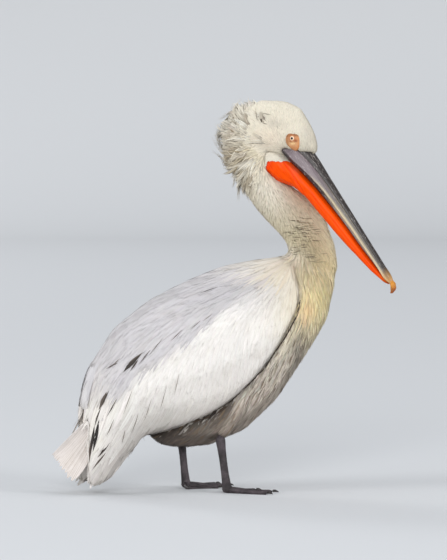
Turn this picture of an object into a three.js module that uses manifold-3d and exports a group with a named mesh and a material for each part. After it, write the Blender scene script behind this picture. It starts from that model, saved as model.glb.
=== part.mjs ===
// A life-size Dalmatian pelican (Pelecanus crispus), standing at rest with its neck drawn back and its
// bill down.
//
// Frame: millimetres, +Z up, the bird faces +X, its left side is +Y. The group is shifted at the end so
// that the origin is under the middle of the whole bird, on the floor.
//
// The bird is a few bent, round-sectioned bodies: trunk, folded-wing envelope, neck, head and bill.
// They are parted where a person would name the parts, with a thin gap between neighbours.

import * as THREE from "three";
import { mergeVertices } from "three/addons/utils/BufferGeometryUtils.js";
import Module from "manifold-3d";

const wasm = await Module();
wasm.setup();

// ---------------------------------------------------------------- driving dimensions

const GAP = 0.3; // between any two neighbouring pieces
const FAR = 500; // reach of a cutting block past the bird
const HIGH = 700; // height of a cutting block over the back

const CULMEN = 399; // bill length along its ridge, from the forehead feathers to the nail
const BILL_PITCH = 56.5; // degrees below the horizontal
const HEAD_YAW = -32; // degrees, the head is turned to the bird's right
const HEAD_AT = new THREE.Vector2(98, -21); // the head frame's own zero, on the floor plan
const CULMEN_BASE = { x: 110, z: 840 }; // where the ridge leaves the forehead, in the head frame

const EYE = { x: 73, y: 31.5, z: 863, radius: 9.5 }; // eyeball, in the head frame
const FACE_SKIN = 0.9; // thickness of the bare skin round the eye

const WING_DEPTH = 20; // thickness of the wing tips, past the trunk
const TIP_SPREAD = 30; // how far each wing stays from the middle of the rump
const TAIL_ROOM = 60; // how far each wing tip stays from the middle, beside the tail
const TIPS_FROM = -226; // where the wing's long tip feathers begin, along the body
const TIPS_FLOOR = 18; // the lowest point of the wing tips
const BACK_END = 292; // height of the mantle's lower border at the rump

const TAIL = {
  quills: 7,
  root: { x: -278, z: 246 },
  half: 26, // half width at the root
  fan: 10, // degrees that the outer quills turn out
  pitch: 44, // degrees below the horizontal, at the middle
  roof: 14, // degrees more at the edges
  length: 224,
};
const FEET = {
  right: { x: -18, y: -76, toeOut: -12, heel: { x: -35, z: 134 } },
  left: { x: -90, y: 74, toeOut: 8, heel: { x: -101, z: 122 } },
};
const TOE = { height: 5.2, side: 7, claw: 15 };
const WEB = 4; // thickness of the webs

// Toes as [name, degrees outwards from straight ahead, length to the root of the claw].
const TOES = [
  ["outer", 25, 108],
  ["middle", 0, 112],
  ["inner", -30, 84],
  ["hind", -102, 42],
];

// Where the loose tufts of the crest end, in the head frame.
const CREST_TIPS = [
  [-36, 6, 957],
  [-74, -10, 946],
  [-101, 14, 922],
  [-129, -14, 887],
  [-131, 16, 853],
  [-119, -12, 802],
  [-96, 10, 762],
];

// ---------------------------------------------------------------- materials

const finish = (color, roughness, metalness = 0) =>
  new THREE.MeshStandardMaterial({ color, roughness, metalness });

const LOOKS = {
  plumage: finish("#e4e1da", 0.85),
  wing: finish("#eceae6", 0.8),
  mantle: finish("#cfccd0", 0.8),
  crest: finish("#d6d2c6", 0.9),
  flight: finish("#d9d6d1", 0.75),
  upperBill: finish("#77717a", 0.5),
  nail: finish("#e08a2c", 0.45),
  pouch: finish("#f0500f", 0.5),
  faceSkin: finish("#e2a56a", 0.6),
  eye: finish("#e9b58a", 0.15),
  leg: finish("#5d5254", 0.65),
  claw: finish("#3c3634", 0.5),
};

// ---------------------------------------------------------------- solids

/** A closed geometry as a solid, turned right side out. */
function solid(geometry) {
  const loose = geometry.index ? geometry.toNonIndexed() : geometry;
  const bare = new THREE.BufferGeometry();
  bare.setAttribute("position", loose.getAttribute("position"));
  const merged = mergeVertices(bare, 1e-3);
  const triVerts = new Uint32Array(merged.index.array);
  const vertProperties = merged.attributes.position.array;
  const made = new wasm.Manifold(new wasm.Mesh({ numProp: 3, vertProperties, triVerts }));
  if (made.volume() > 0) return made;
  for (let i = 0; i < triVerts.length; i += 3)
    [triVerts[i], triVerts[i + 1]] = [triVerts[i + 1], triVerts[i]];
  return new wasm.Manifold(new wasm.Mesh({ numProp: 3, vertProperties, triVerts }));
}

const join = (...solids) => solids.reduce((a, b) => a.add(b));
const cut = (from, ...others) => others.reduce((a, b) => a.subtract(b), from);

/** The largest of a solid's separate bodies, without the crumbs that a cut can leave. */
function whole(shape) {
  const bodies = shape.decompose().sort((a, b) => b.volume() - a.volume());
  return bodies[0];
}

/** A named mesh of a solid. */
function mesh(name, shape, material) {
  const { numProp, numVert, vertProperties, triVerts } = whole(shape).getMesh();
  const places = new Float32Array(numVert * 3);
  for (let i = 0; i < numVert; i++)
    places.set(vertProperties.subarray(i * numProp, i * numProp + 3), i * 3);
  const geometry = new THREE.BufferGeometry();
  geometry.setAttribute("position", new THREE.BufferAttribute(places, 3));
  geometry.setIndex(new THREE.BufferAttribute(triVerts, 1));
  geometry.computeVertexNormals();
  const made = new THREE.Mesh(geometry, material);
  made.name = name;
  return made;
}

const radians = THREE.MathUtils.degToRad;
const signedPower = (value, power) => Math.sign(value) * Math.abs(value) ** power;

/**
 * A bent body with an oval section at each station, closed to a point at both ends.
 *
 * A station is [x, y, z, side, up, down, yaw]: the centre, the half width, the reach to the back and to
 * the belly, and the way its section faces, in degrees about Z. Stations run from the tail end to the
 * head end.
 * `square` under 1 makes the section boxier, `grow` makes the whole body larger by that many
 * millimetres, and `across` turns the width of all its sections to one direction.
 */
function bentBody(stations, { sides = 20, rings = 16, grow = 0, square = 1, across: crosswise } = {}) {
  const centres = new THREE.CatmullRomCurve3(stations.map(([x, y, z]) => new THREE.Vector3(x, y, z)));
  const reaches = new THREE.CatmullRomCurve3(
    stations.map(([, , , side, up, down]) => new THREE.Vector3(side, up, down)),
  );
  const turns = new THREE.CatmullRomCurve3(stations.map((s, i) => new THREE.Vector3(i, s[6] ?? 0, 0)));
  const geometry = new THREE.SphereGeometry(1, sides, rings);
  const { position, uv } = geometry.attributes;
  for (let i = 0; i < position.count; i++) {
    const along = 1 - uv.getY(i);
    const round = 2 * Math.PI * (uv.getX(i) % 1); // the seam's two rows fall on each other
    const tangent = centres.getTangent(along);
    const yaw = radians(turns.getPoint(along).y);
    const left = crosswise ?? new THREE.Vector3(-Math.sin(yaw), Math.cos(yaw), 0);
    const back = new THREE.Vector3().crossVectors(tangent, left).normalize();
    const reach = reaches.getPoint(along);
    const atEnd = along < 1e-6 || along > 1 - 1e-6;
    const swell = atEnd ? 0 : grow;
    const across = atEnd ? 0 : signedPower(Math.cos(round), square) * Math.max(reach.x + swell, 0.1);
    const rise = Math.sin(round) > 0 ? reach.y : reach.z;
    const height = atEnd ? 0 : signedPower(Math.sin(round), square) * Math.max(rise + swell, 0.1);
    const endShift = atEnd ? grow * (along < 0.5 ? -1 : 1) : 0;
    const place = centres.getPoint(along).addScaledVector(left, across);
    place.addScaledVector(back, height).addScaledVector(tangent, endShift);
    position.setXYZ(i, place.x, place.y, place.z);
  }
  return solid(geometry);
}

/** A block over a side-view outline [x, z], from `from` to `to` along the Y axis. */
function sideBlock(points, from, to) {
  const shape = new THREE.Shape(points.map(([x, z]) => new THREE.Vector2(x, z)));
  const geometry = new THREE.ExtrudeGeometry(shape, { depth: to - from, bevelEnabled: false });
  return solid(geometry.rotateX(Math.PI / 2).translate(0, to, 0));
}

/** A smooth line through a few side-view points. */
function smooth(points, divisions = 14) {
  const curve = new THREE.SplineCurve(points.map(([x, z]) => new THREE.Vector2(x, z)));
  return curve.getPoints(divisions).map((p) => [p.x, p.y]);
}

/** A box between two corners. */
function box(x0, y0, z0, x1, y1, z1) {
  const geometry = new THREE.BoxGeometry(x1 - x0, y1 - y0, z1 - z0);
  return solid(geometry.translate((x0 + x1) / 2, (y0 + y1) / 2, (z0 + z1) / 2));
}

// ---------------------------------------------------------------- trunk and folded wings

/** The trunk with its coat, from the root of the tail to the base of the neck. */
const trunkBody = (grow = 0) =>
  bentBody(
    [
      [-322, 0, 196, 0, 0, 0],
      [-306, 0, 206, 32, 24, 56],
      [-270, 0, 234, 66, 74, 134],
      [-215, 0, 262, 98, 124, 172],
      [-140, 0, 286, 120, 166, 192],
      [-60, 0, 306, 127, 184, 198],
      [20, 0, 342, 122, 186, 168],
      [100, 0, 402, 110, 158, 128],
      [160, 0, 456, 96, 118, 104],
      [205, 0, 505, 72, 72, 80],
      [232, 0, 545, 0, 0, 0],
    ],
    { sides: 14, rings: 13, grow },
  );

/** The outer surface of the folded wings and the feathers of the back. */
const wingEnvelope = (grow = 0) =>
  bentBody(
    [
      [-352, 0, -30, 0, 0, 0],
      [-350, 0, -8, 70, 24, 60],
      [-336, 0, 84, 86, 42, 90],
      [-308, 0, 176, 110, 72, 120],
      [-246, 0, 240, 134, 142, 130],
      [-160, 0, 282, 150, 189, 165],
      [-70, 0, 305, 154, 212, 180],
      [20, 0, 345, 149, 212, 165],
      [105, 0, 408, 134, 190, 110],
      [165, 0, 464, 116, 154, 90],
      [214, 0, 530, 80, 98, 55],
      [240, 0, 572, 0, 0, 0],
    ],
    { sides: 16, rings: 15, grow },
  );

// The lines that a person would draw on the side of the folded wing, from front to back, as [x, z].
const WRIST = [150, 560];
const TIPS_CORNER = [TIPS_FROM, 138];
const COVERT_END = 250; // height of the coverts' lower border at the back
const SHOULDER_LINE = [
  WRIST, [96, 541], [30, 500], [-47, 443], [-142, 392], [-212, 343], [-262, 308], [-400, BACK_END],
];
const COVERT_LINE = [[168, 470], [110, 420], [40, 352], [-60, 290], [-150, 262], [-236, COVERT_END]];
const LOWER_EDGE = [
  WRIST, [158, 508], [154, 462], [116, 387], [58, 304], [-22, 228], [-75, 196], [-150, 161], TIPS_CORNER,
];
const TIP_LINE = [[TIPS_FROM, 330], [-236, COVERT_END], TIPS_CORNER];
const TIP_EDGE = [TIPS_CORNER, [-238, 112], [-268, 71], [-316, 34], [-349, TIPS_FLOOR]];

const moved = (points, dx, dz) => points.map(([x, z]) => [x + dx, z + dz]);
const backwards = (points) => [...points].reverse();

// The room that the wing tips leave in the middle: a slit over the rump, and the tail's width below it.
const overRump = box(-FAR, -TIP_SPREAD, -FAR, FAR, TIP_SPREAD, FAR);
const underTail = sideBlock([[-250, 284], [-460, 80], [-460, -FAR], [-250, -FAR]], -TAIL_ROOM, TAIL_ROOM);

/** The four pieces of one side's folded wing. Past the trunk, the wing is a blade of WING_DEPTH. */
function foldedWing(side, mass) {
  const [from, to] = side === "right" ? [-FAR, -GAP / 2] : [GAP / 2, FAR];
  const shoulder = smooth(SHOULDER_LINE, 12);
  const lower = smooth(LOWER_EDGE, 13);
  const covert = smooth(COVERT_LINE, 7);
  const tip = smooth(TIP_LINE, 4);
  const tipEdge = smooth(TIP_EDGE, 6);
  const block = (points) => sideBlock(points, from, to);
  const overBack = [[-FAR, BACK_END], [-FAR, HIGH], [FAR, HIGH], [FAR, WRIST[1]]];
  const wingSide = [...shoulder, [-FAR, BACK_END], [-FAR, TIPS_FLOOR]];
  const below = block([...wingSide, ...backwards(tipEdge), ...backwards(lower)]);
  const wing = cut(mass.intersect(below), block([...moved(shoulder, 0, -GAP), ...overBack]));
  const ahead = (grow) => {
    const edge = TIPS_FROM - grow;
    return block([[FAR, HIGH], [edge, HIGH], ...moved(tip, -grow, 0), [edge, -FAR], [FAR, -FAR]]);
  };
  const under = (grow) => {
    const start = covert[0][1] + grow;
    const border = [...moved(covert, 0, grow), [-FAR, COVERT_END]];
    return block([...border, [-FAR, -FAR], [FAR, -FAR], [FAR, start]]);
  };
  return {
    scapulars: mass.intersect(block([...shoulder, ...overBack])),
    coverts: cut(wing.intersect(ahead(0)), under(GAP)),
    secondaries: wing.intersect(ahead(0)).intersect(under(0)),
    primaries: cut(wing, ahead(GAP), overRump, underTail, wingEnvelope(-WING_DEPTH)),
  };
}

// ---------------------------------------------------------------- neck and head

/** A point of the head frame on the floor plan of the bird. */
function headPoint(x, y, z) {
  const yaw = radians(HEAD_YAW);
  return [
    HEAD_AT.x + x * Math.cos(yaw) - y * Math.sin(yaw),
    HEAD_AT.y + x * Math.sin(yaw) + y * Math.cos(yaw),
    z,
  ];
}

/** A station of a body that turns with the head. */
const headStation = ([x, z, side, up, down]) => [...headPoint(x, 0, z), side, up, down, HEAD_YAW];

const neckBody = (grow = 0) =>
  bentBody(
    [
      [120, 0, 400, 0, 0, 0],
      [138, 0, 424, 48, 40, 50],
      [184, 0, 492, 74, 70, 84],
      [206, 0, 560, 63, 64, 72, -4],
      [199, -2, 618, 51, 56, 60, -10],
      [168, -5, 662, 47, 57, 55, -18],
      [117, -8, 710, 46, 54, 52, -26],
      [72, -8, 768, 47, 48, 44, -30],
      [60, 0, 838, 44, 46, 42, -32],
      [62, 0, 880, 0, 0, 0, -32],
    ],
    { sides: 12, rings: 15, grow },
  );

const headBody = (grow = 0) =>
  bentBody(
    [
      [-92, 842, 0, 0, 0],
      [-80, 850, 24, 34, 26],
      [-48, 868, 42, 70, 46],
      [2, 880, 46, 80, 60],
      [48, 872, 42, 78, 62],
      [84, 856, 37, 47, 44],
      [108, 838, 30, 24, 26],
      [122, 822, 0, 0, 0],
    ].map(headStation),
    { sides: 14, rings: 10, grow },
  );

/** The shaggy crest: a soft ridge down the back of the head, with loose tufts that stand out of it. */
function crestBody() {
  const ridge = bentBody(
    [
      [-52, 735, 0, 0, 0],
      [-64, 765, 34, 16, 20],
      [-80, 815, 38, 24, 24],
      [-86, 865, 38, 26, 26],
      [-76, 905, 34, 24, 26],
      [-46, 938, 26, 16, 22],
      [-16, 950, 0, 0, 0],
    ].map(headStation),
    { sides: 8, rings: 9 },
  );
  const heart = new THREE.Vector2(-30, 850);
  const tufts = CREST_TIPS.map(([x, y, z]) => {
    const root = new THREE.Vector2(x, z).lerp(heart, 0.55);
    const station = (share, half) => {
      const sag = 10 * share * (1 - share);
      const at = root.clone().lerp(new THREE.Vector2(x, z), share);
      return [...headPoint(at.x, y * share, at.y - sag), half, half * 0.8, half * 0.8, HEAD_YAW];
    };
    const stations = [station(0, 0), station(0.3, 15), station(0.72, 10), station(1, 0)];
    return bentBody(stations, { sides: 5, rings: 4 });
  });
  return join(ridge, ...tufts);
}

// ---------------------------------------------------------------- bill

/** A station of the bill: s along the ridge from the forehead, n above the ridge line. */
function billStation([s, n, side, up, down]) {
  const pitch = radians(BILL_PITCH);
  const x = CULMEN_BASE.x + s * Math.cos(pitch) + n * Math.sin(pitch);
  const z = CULMEN_BASE.z - s * Math.sin(pitch) + n * Math.cos(pitch);
  return headStation([x, z, side, up, down]);
}

const billPart = (stations, options) => bentBody(stations.map(billStation), options);

/** The ridge and roof of the upper bill. */
const culmen = (grow = 0) =>
  billPart(
    [
      [-34, -30, 0, 0, 0],
      [-24, -28, 24, 22, 18],
      [20, -20, 22, 19, 16],
      [80, -13, 15, 12, 10],
      [170, -9, 9, 8.5, 6],
      [270, -7.5, 7.5, 7, 4],
      [360, -7, 7.5, 6.5, 4],
      [384, -8, 7, 6.5, 5],
      [392, -9, 0, 0, 0],
    ],
    { sides: 8, rings: 9, grow },
  );

/** The broad side plates of the upper bill, which end in the cutting edge. */
const sidePlates = (grow = 0) =>
  billPart(
    [
      [-46, -62, 0, 0, 0],
      [-38, -58, 30, 8, 7],
      [0, -42, 34, 20, 14],
      [50, -30, 29, 14, 12],
      [110, -21, 25, 8, 7],
      [180, -16, 22, 4.5, 5],
      [260, -12, 23, 3.5, 4],
      [340, -10, 24, 3.5, 3.5],
      [376, -10, 20, 4, 3.5],
      [390, -10, 0, 0, 0],
    ],
    { sides: 10, rings: 10, grow, square: 0.72 },
  );

/** The palate, narrower than the plates, which closes the upper bill down to the lower one. */
const palate = (grow = 0) =>
  billPart(
    [
      [-40, -62, 0, 0, 0],
      [-30, -58, 26, 10, 12],
      [20, -42, 25, 10, 12],
      [60, -34, 23, 8, 11.5],
      [120, -27, 20, 8, 10],
      [189, -20, 18, 6, 7.6],
      [240, -18, 18, 6, 7.6],
      [320, -12, 17, 4, 5.4],
      [368, -9, 13, 3, 3],
      [380, -9, 0, 0, 0],
    ],
    { sides: 6, rings: 7, grow },
  );

/** The hooked nail at the tip. */
const nailBody = (grow = 0) =>
  billPart(
    [
      [378, -9, 0, 0, 0],
      [383, -9, 8, 7.5, 5],
      [394, -10, 9.5, 8, 7],
      [CULMEN, -14, 7.5, 7, 7],
      [CULMEN + 5, -20, 4, 4.5, 5],
      [CULMEN + 5, -27, 0, 0, 0],
    ],
    { sides: 8, rings: 6, grow },
  );

// The lower jaw's outer form, from the lobe under the cheek to the tip.
const JAW = [
  [-52, -98, 0, 0, 0],
  [-46, -98, 22, 14, 26],
  [-16, -92, 34, 27, 40],
  [22, -78, 32, 24, 34],
  [59, -62, 30, 15, 22],
  [120, -54, 27, 16, 20],
  [189, -45.5, 25, 16, 19],
  [240, -40, 24, 12.5, 15],
  [320, -28.5, 22, 9.5, 10.5],
  [372, -18.5, 17, 5.5, 5.5],
  [390, -14, 0, 0, 0],
];
const RAMUS_WIDTH = 7;
const TIP_JOIN = 16; // solid length at the tip, where the two branches meet

const lowerJaw = (grow = 0) => billPart(JAW, { sides: 10, rings: 11, grow, square: 0.85 });

/** The space between the two branches of the lower jaw. */
const jawHollow = (grow = 0) =>
  billPart(
    JAW.map(([s, n, side, up, down]) => {
      const narrow = Math.max(side - RAMUS_WIDTH, 0);
      return [s - (s > 340 ? TIP_JOIN : 0), n, narrow, up && up + 6, down && down + 6];
    }),
    { sides: 8, rings: 9, grow, square: 0.6 },
  );

/** The upper part of the lower jaw, where its two thin branches run. */
const jawSlab = (grow = 0) =>
  billPart(
    [
      [-30, -50, 0, 0, 0],
      [-24, -52, 60, 10, 26 + grow],
      [22, -44, 60, 10, 28 + grow],
      [59, -40, 60, 10, 20 + grow],
      [120, -33, 60, 10, 18 + grow],
      [189, -25, 60, 10, 17 + grow],
      [240, -23, 60, 10, 14 + grow],
      [320, -14, 60, 10, 13 + grow],
      [400, -5, 60, 10, 12 + grow],
      [420, -4, 0, 0, 0],
    ],
    { sides: 8, rings: 8, square: 0.4 },
  );

// ---------------------------------------------------------------- tail and legs

/**
 * A place on the tail, which is a roof-shaped fan: `side` runs from -1 at its right edge to 1 at its
 * left, `share` from the root to the tip.
 */
function tailPoint(side, share) {
  const fan = radians(TAIL.fan) * side;
  const pitch = radians(TAIL.pitch + TAIL.roof * side ** 2);
  const reach = (TAIL.length + 18 * side ** 2) * share;
  return new THREE.Vector3(
    TAIL.root.x - reach * Math.cos(pitch) * Math.cos(fan),
    TAIL.half * side + reach * Math.sin(fan),
    TAIL.root.z - 12 * side ** 2 - reach * Math.sin(pitch) * Math.cos(fan),
  );
}

/** The tail: broad quills that overlap like tiles. */
function tailFan(grow = 0) {
  const blades = Array.from({ length: TAIL.quills }, (_, i) => {
    const side = (2 * i) / (TAIL.quills - 1) - 1;
    const station = (share, half, thick) => [...tailPoint(side, share), half, thick, thick];
    const across = tailPoint(side + 0.1, 1).sub(tailPoint(side - 0.1, 1)).normalize();
    const stations = [
      station(1, 0, 0),
      station(0.97, 12, 1.6),
      station(0.86, 21, 2.4),
      station(0.45, 17, 3.2),
      station(0.05, 10, 4),
      station(0, 0, 0),
    ];
    return bentBody(stations, { sides: 4, rings: 5, grow, across });
  });
  return join(...blades);
}

/** A place in a foot's own frame: ahead of and left of the ankle, turned out with the foot. */
function footPoint(foot, ahead, degrees, z) {
  const way = radians(foot.toeOut) + radians(degrees);
  return [foot.x + ahead * Math.cos(way), foot.y + ahead * Math.sin(way), z];
}

/** The signed angle of a toe, which opens to the right on the right foot. */
const toeAngle = (side, outwards) => (side === "right" ? -outwards : outwards);

function clawBody(foot, angle, length, grow = 0) {
  const yaw = foot.toeOut + angle;
  const station = (ahead, z, half) => {
    return [...footPoint(foot, ahead, angle, z), half, half * 1.1, half, yaw];
  };
  const stations = [
    station(length - 3, 5.2, 0),
    station(length - 1, 5.2, 3.6),
    station(length + 5, 5.4, 3.2),
    station(length + TOE.claw - 4, 3.6, 1.7),
    station(length + TOE.claw, 1.6, 0),
  ];
  return bentBody(stations, { sides: 5, rings: 4, grow });
}

/** One foot: four toes in one web, with a flat sole, and its claws. */
function footParts(side) {
  const foot = FEET[side];
  const toes = TOES.map(([, outwards, length]) => {
    const angle = toeAngle(side, outwards);
    const yaw = foot.toeOut + angle;
    const station = (ahead, z, half, up) => {
      return [...footPoint(foot, ahead, angle, z), half, up, half && 8, yaw];
    };
    const stations = [
      station(-13, 8, 0, 0),
      station(-9, 8, 8, 8),
      station(4, 9, 9, 10),
      station(length * 0.35, TOE.height, TOE.side * 0.86, 4.6),
      station(length * 0.68, TOE.height, TOE.side, 4.4),
      station(length - 5, TOE.height - 0.6, TOE.side * 0.72, 3.8),
      station(length + 2, TOE.height - 0.8, 0, 0),
    ];
    return bentBody(stations, { sides: 6, rings: 5 });
  });
  const tips = TOES.map(([, outwards, length]) => {
    const [x, y] = footPoint(foot, length - 4, toeAngle(side, outwards), 0);
    return new THREE.Vector2(x, y);
  });
  const ankle = new THREE.Vector2(foot.x, foot.y);
  const web = new THREE.Shape([ankle]);
  web.lineTo(tips[0].x, tips[0].y);
  for (let i = 1; i < tips.length; i++) {
    const middle = tips[i - 1].clone().add(tips[i]).multiplyScalar(0.5);
    const hollow = middle.lerp(ankle, 0.16);
    web.quadraticCurveTo(hollow.x, hollow.y, tips[i].x, tips[i].y);
  }
  web.lineTo(ankle.x, ankle.y);
  const thin = { depth: WEB, bevelEnabled: false, curveSegments: 3 };
  const sheet = solid(new THREE.ExtrudeGeometry(web, thin));
  const floor = box(-FAR, -FAR, 0, FAR, FAR, FAR);
  const claws = TOES.map(([name, outwards, length]) => {
    const angle = toeAngle(side, outwards);
    return {
      name: `claw_${name}_${side}`,
      shape: clawBody(foot, angle, length).intersect(box(-FAR, -FAR, GAP, FAR, FAR, FAR)),
      room: clawBody(foot, angle, length, GAP),
    };
  });
  const flesh = cut(join(sheet, ...toes).intersect(floor), ...claws.map((c) => c.room));
  return { flesh, claws };
}

/** The bare shank, flattened from side to side. */
const shankBody = (side, grow = 0) => {
  const { x, y, heel } = FEET[side];
  const lean = (heel.x - x) / heel.z;
  const station = (z, half, back, front) => [x + lean * z, y, z, half, back, front, FEET[side].toeOut];
  return bentBody(
    [
      station(6, 0, 0, 0),
      station(10, 9, 12, 15),
      station(24, 7.5, 10, 11),
      station(62, 6.5, 9.5, 9.5),
      station(100, 7, 10, 9.5),
      station(heel.z - 8, 10, 13, 12),
      station(heel.z, 9.5, 12, 11),
      station(heel.z + 12, 0, 0, 0),
    ],
    { sides: 8, rings: 8, grow },
  );
};

/** The feathered thigh, which sinks into the belly. */
const thighBody = (side, grow = 0) => {
  const { y, heel } = FEET[side];
  return bentBody(
    [
      [heel.x + 1, y, heel.z + 2, 0, 0, 0],
      [heel.x + 3, y, heel.z + 6, 13, 15, 15],
      [heel.x + 14, y, heel.z + 36, 26, 34, 30],
      [heel.x + 30, y * 0.98, heel.z + 78, 36, 48, 44],
      [heel.x + 44, y * 0.94, heel.z + 120, 34, 50, 46],
      [heel.x + 54, y * 0.9, heel.z + 150, 0, 0, 0],
    ],
    { sides: 8, rings: 7, grow },
  );
};

// ---------------------------------------------------------------- the bird

/** The bare skin round one eye, a thin drop-shaped patch that runs down to the bill. */
function faceSkin(sign) {
  const corners = [[-17, 12], [-8, 19], [8, 17], [17, 4], [18, -10], [14, -24], [6, -30], [-6, -20], [-16, -6]];
  const outline = smooth([...corners, corners[0]]).slice(0, -1);
  const shape = new THREE.Shape(outline.map(([x, z]) => new THREE.Vector2(x, z)));
  const geometry = new THREE.ExtrudeGeometry(shape, { depth: 40, bevelEnabled: false });
  geometry.rotateX(Math.PI / 2).translate(EYE.x + 1, sign > 0 ? 55 : -15, EYE.z - 1);
  geometry.rotateZ(radians(HEAD_YAW)).translate(HEAD_AT.x, HEAD_AT.y, 0);
  const layer = cut(headBody(GAP + FACE_SKIN), headBody(GAP));
  return solid(geometry).intersect(layer);
}

function eyeBall(sign, grow = 0) {
  const [x, y, z] = headPoint(EYE.x, sign * EYE.y, EYE.z);
  return solid(new THREE.SphereGeometry(EYE.radius + grow, 10, 6).translate(x, y, z));
}

const pelican = new THREE.Group();
pelican.name = "pelican";
const add = (name, shape, material) => pelican.add(mesh(name, shape, material));

// The jaw is whole. The upper bill sits on it, and the head and neck give way to both.
const rami = (grow = 0) => cut(lowerJaw(grow).intersect(jawSlab(grow)), jawHollow(-grow));
const upperBill = (grow = 0) => join(culmen(grow), sidePlates(grow), palate(grow));
const eyeRoom = join(eyeBall(1, GAP), eyeBall(-1, GAP));
const billRoom = join(upperBill(GAP), lowerJaw(GAP));
add("upper_bill", cut(upperBill(), nailBody(GAP), lowerJaw(GAP), eyeRoom), LOOKS.upperBill);
add("bill_nail", nailBody(), LOOKS.nail);
add("lower_bill", cut(rami(), nailBody(GAP)), LOOKS.pouch);
add("pouch", cut(lowerJaw(), rami(GAP), nailBody(GAP)), LOOKS.pouch);

add("head", cut(headBody(), billRoom, eyeRoom), LOOKS.plumage);
for (const [side, sign] of [["right", -1], ["left", 1]]) {
  add(`eye_${side}`, eyeBall(sign), LOOKS.eye);
  add(`face_skin_${side}`, cut(faceSkin(sign), billRoom, eyeRoom), LOOKS.faceSkin);
}
const neck = cut(neckBody(), headBody(GAP), billRoom);
add("crest", cut(crestBody(), headBody(GAP), neckBody(GAP)), LOOKS.crest);

// The neck and the trunk are one form, parted across into the trunk and three lengths of neck.
const stem = join(trunkBody(), neck);
const NECK_CUTS = [
  ["trunk", [[-FAR, -FAR], [FAR, -FAR]]],
  ["neck_lower", [[110, 606], [300, 520]]],
  ["neck_middle", [[70, 628], [300, 628]]],
  ["neck_upper", [[0, 716], [300, 716]]],
];
NECK_CUTS.forEach(([name, lower], i) => {
  const upper = NECK_CUTS[i + 1]?.[1] ?? [[-FAR, FAR * 2], [FAR, FAR * 2]];
  const from = i === 0 ? lower : [[-FAR, lower[0][1]], ...moved(lower, 0, GAP), [FAR, lower[1][1]]];
  const to = [[-FAR, upper[0][1]], ...upper, [FAR, upper[1][1]]];
  add(name, stem.intersect(sideBlock([...from, ...backwards(to)], -FAR, FAR)), LOOKS.plumage);
});

add("tail", cut(tailFan(), trunkBody(GAP)), LOOKS.flight);

const wings = cut(
  wingEnvelope(),
  trunkBody(GAP),
  neckBody(GAP),
  tailFan(GAP),
  thighBody("right", GAP),
  thighBody("left", GAP),
);
const WING_LOOKS = {
  scapulars: LOOKS.mantle,
  coverts: LOOKS.wing,
  secondaries: LOOKS.flight,
  primaries: LOOKS.flight,
};
for (const side of ["right", "left"])
  for (const [part, shape] of Object.entries(foldedWing(side, wings)))
    add(`wing_${part}_${side}`, shape, WING_LOOKS[part]);

for (const side of ["right", "left"]) {
  const { flesh, claws } = footParts(side);
  add(`thigh_${side}`, cut(thighBody(side), trunkBody(GAP), shankBody(side, GAP)), LOOKS.plumage);
  add(`shank_${side}`, shankBody(side), LOOKS.leg);
  add(`foot_${side}`, cut(flesh, shankBody(side, GAP)), LOOKS.leg);
  for (const claw of claws) add(claw.name, claw.shape, LOOKS.claw);
}

// The origin goes under the middle of the whole bird, on the floor.
const bounds = new THREE.Box3().setFromObject(pelican);
const middle = bounds.getCenter(new THREE.Vector3());
pelican.position.set(-middle.x, -middle.y, -bounds.min.z);

export default pelican;
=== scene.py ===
"""A life-size standing Dalmatian pelican, dressed with skin, feathers, horn and eyes around its solids.

Frame: metres, +Z up, the bird faces +X and its left side is +Y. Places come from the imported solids.
"""

from __future__ import annotations

import functools
import heapq
import logging
import math
from collections.abc import Callable, Iterable, Sequence
from dataclasses import dataclass
from enum import Enum
from typing import Any

import bmesh
import bpy
import numpy as np
from bmesh.types import BMEdge, BMesh, BMFace, BMVert
from bpy.types import Material, Mesh, Node, NodeSocket, NodeTree, Object
from mathutils import Matrix, Vector
from mathutils.bvhtree import BVHTree
from mathutils.kdtree import KDTree

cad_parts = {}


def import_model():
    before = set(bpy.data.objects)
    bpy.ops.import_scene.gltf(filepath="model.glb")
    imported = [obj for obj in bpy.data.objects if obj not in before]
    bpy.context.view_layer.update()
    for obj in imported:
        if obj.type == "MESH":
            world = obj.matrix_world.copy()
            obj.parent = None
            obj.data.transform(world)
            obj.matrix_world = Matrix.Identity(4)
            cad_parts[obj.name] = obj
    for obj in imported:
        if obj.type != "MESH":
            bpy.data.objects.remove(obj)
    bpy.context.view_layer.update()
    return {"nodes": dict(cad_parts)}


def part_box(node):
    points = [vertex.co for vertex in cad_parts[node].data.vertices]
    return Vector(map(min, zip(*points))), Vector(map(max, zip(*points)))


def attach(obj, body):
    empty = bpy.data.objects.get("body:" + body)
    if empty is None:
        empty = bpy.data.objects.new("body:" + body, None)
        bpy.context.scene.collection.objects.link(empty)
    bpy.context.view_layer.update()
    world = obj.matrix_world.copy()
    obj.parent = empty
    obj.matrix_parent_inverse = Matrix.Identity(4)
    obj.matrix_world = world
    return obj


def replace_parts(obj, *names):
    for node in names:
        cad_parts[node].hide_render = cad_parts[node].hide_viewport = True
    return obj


log = logging.getLogger("pelican")

MM = 0.001
SEED = 2207
SEED_STEP = 61.8  # between the grain of one feather and of the next
STIFFNESS = 0.55  # a feather runs on straight where the skin's normal turns by more than this cosine
FLOOR_ROOM = 0.024  # feathers end above this height
ROOT = "root"  # the row's one body

SMOOTH = {"interpolation_type": "SMOOTHSTEP"}  # Map Range: 0 the value, 1 and 2 its ends, 4 the most given
LAY = {"data_type": "RGBA", "blend_type": "MIX"}  # Mix: 0 the share, 6 the colour under, 7 the one over
STAIN = {"data_type": "RGBA", "blend_type": "MULTIPLY"}

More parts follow.
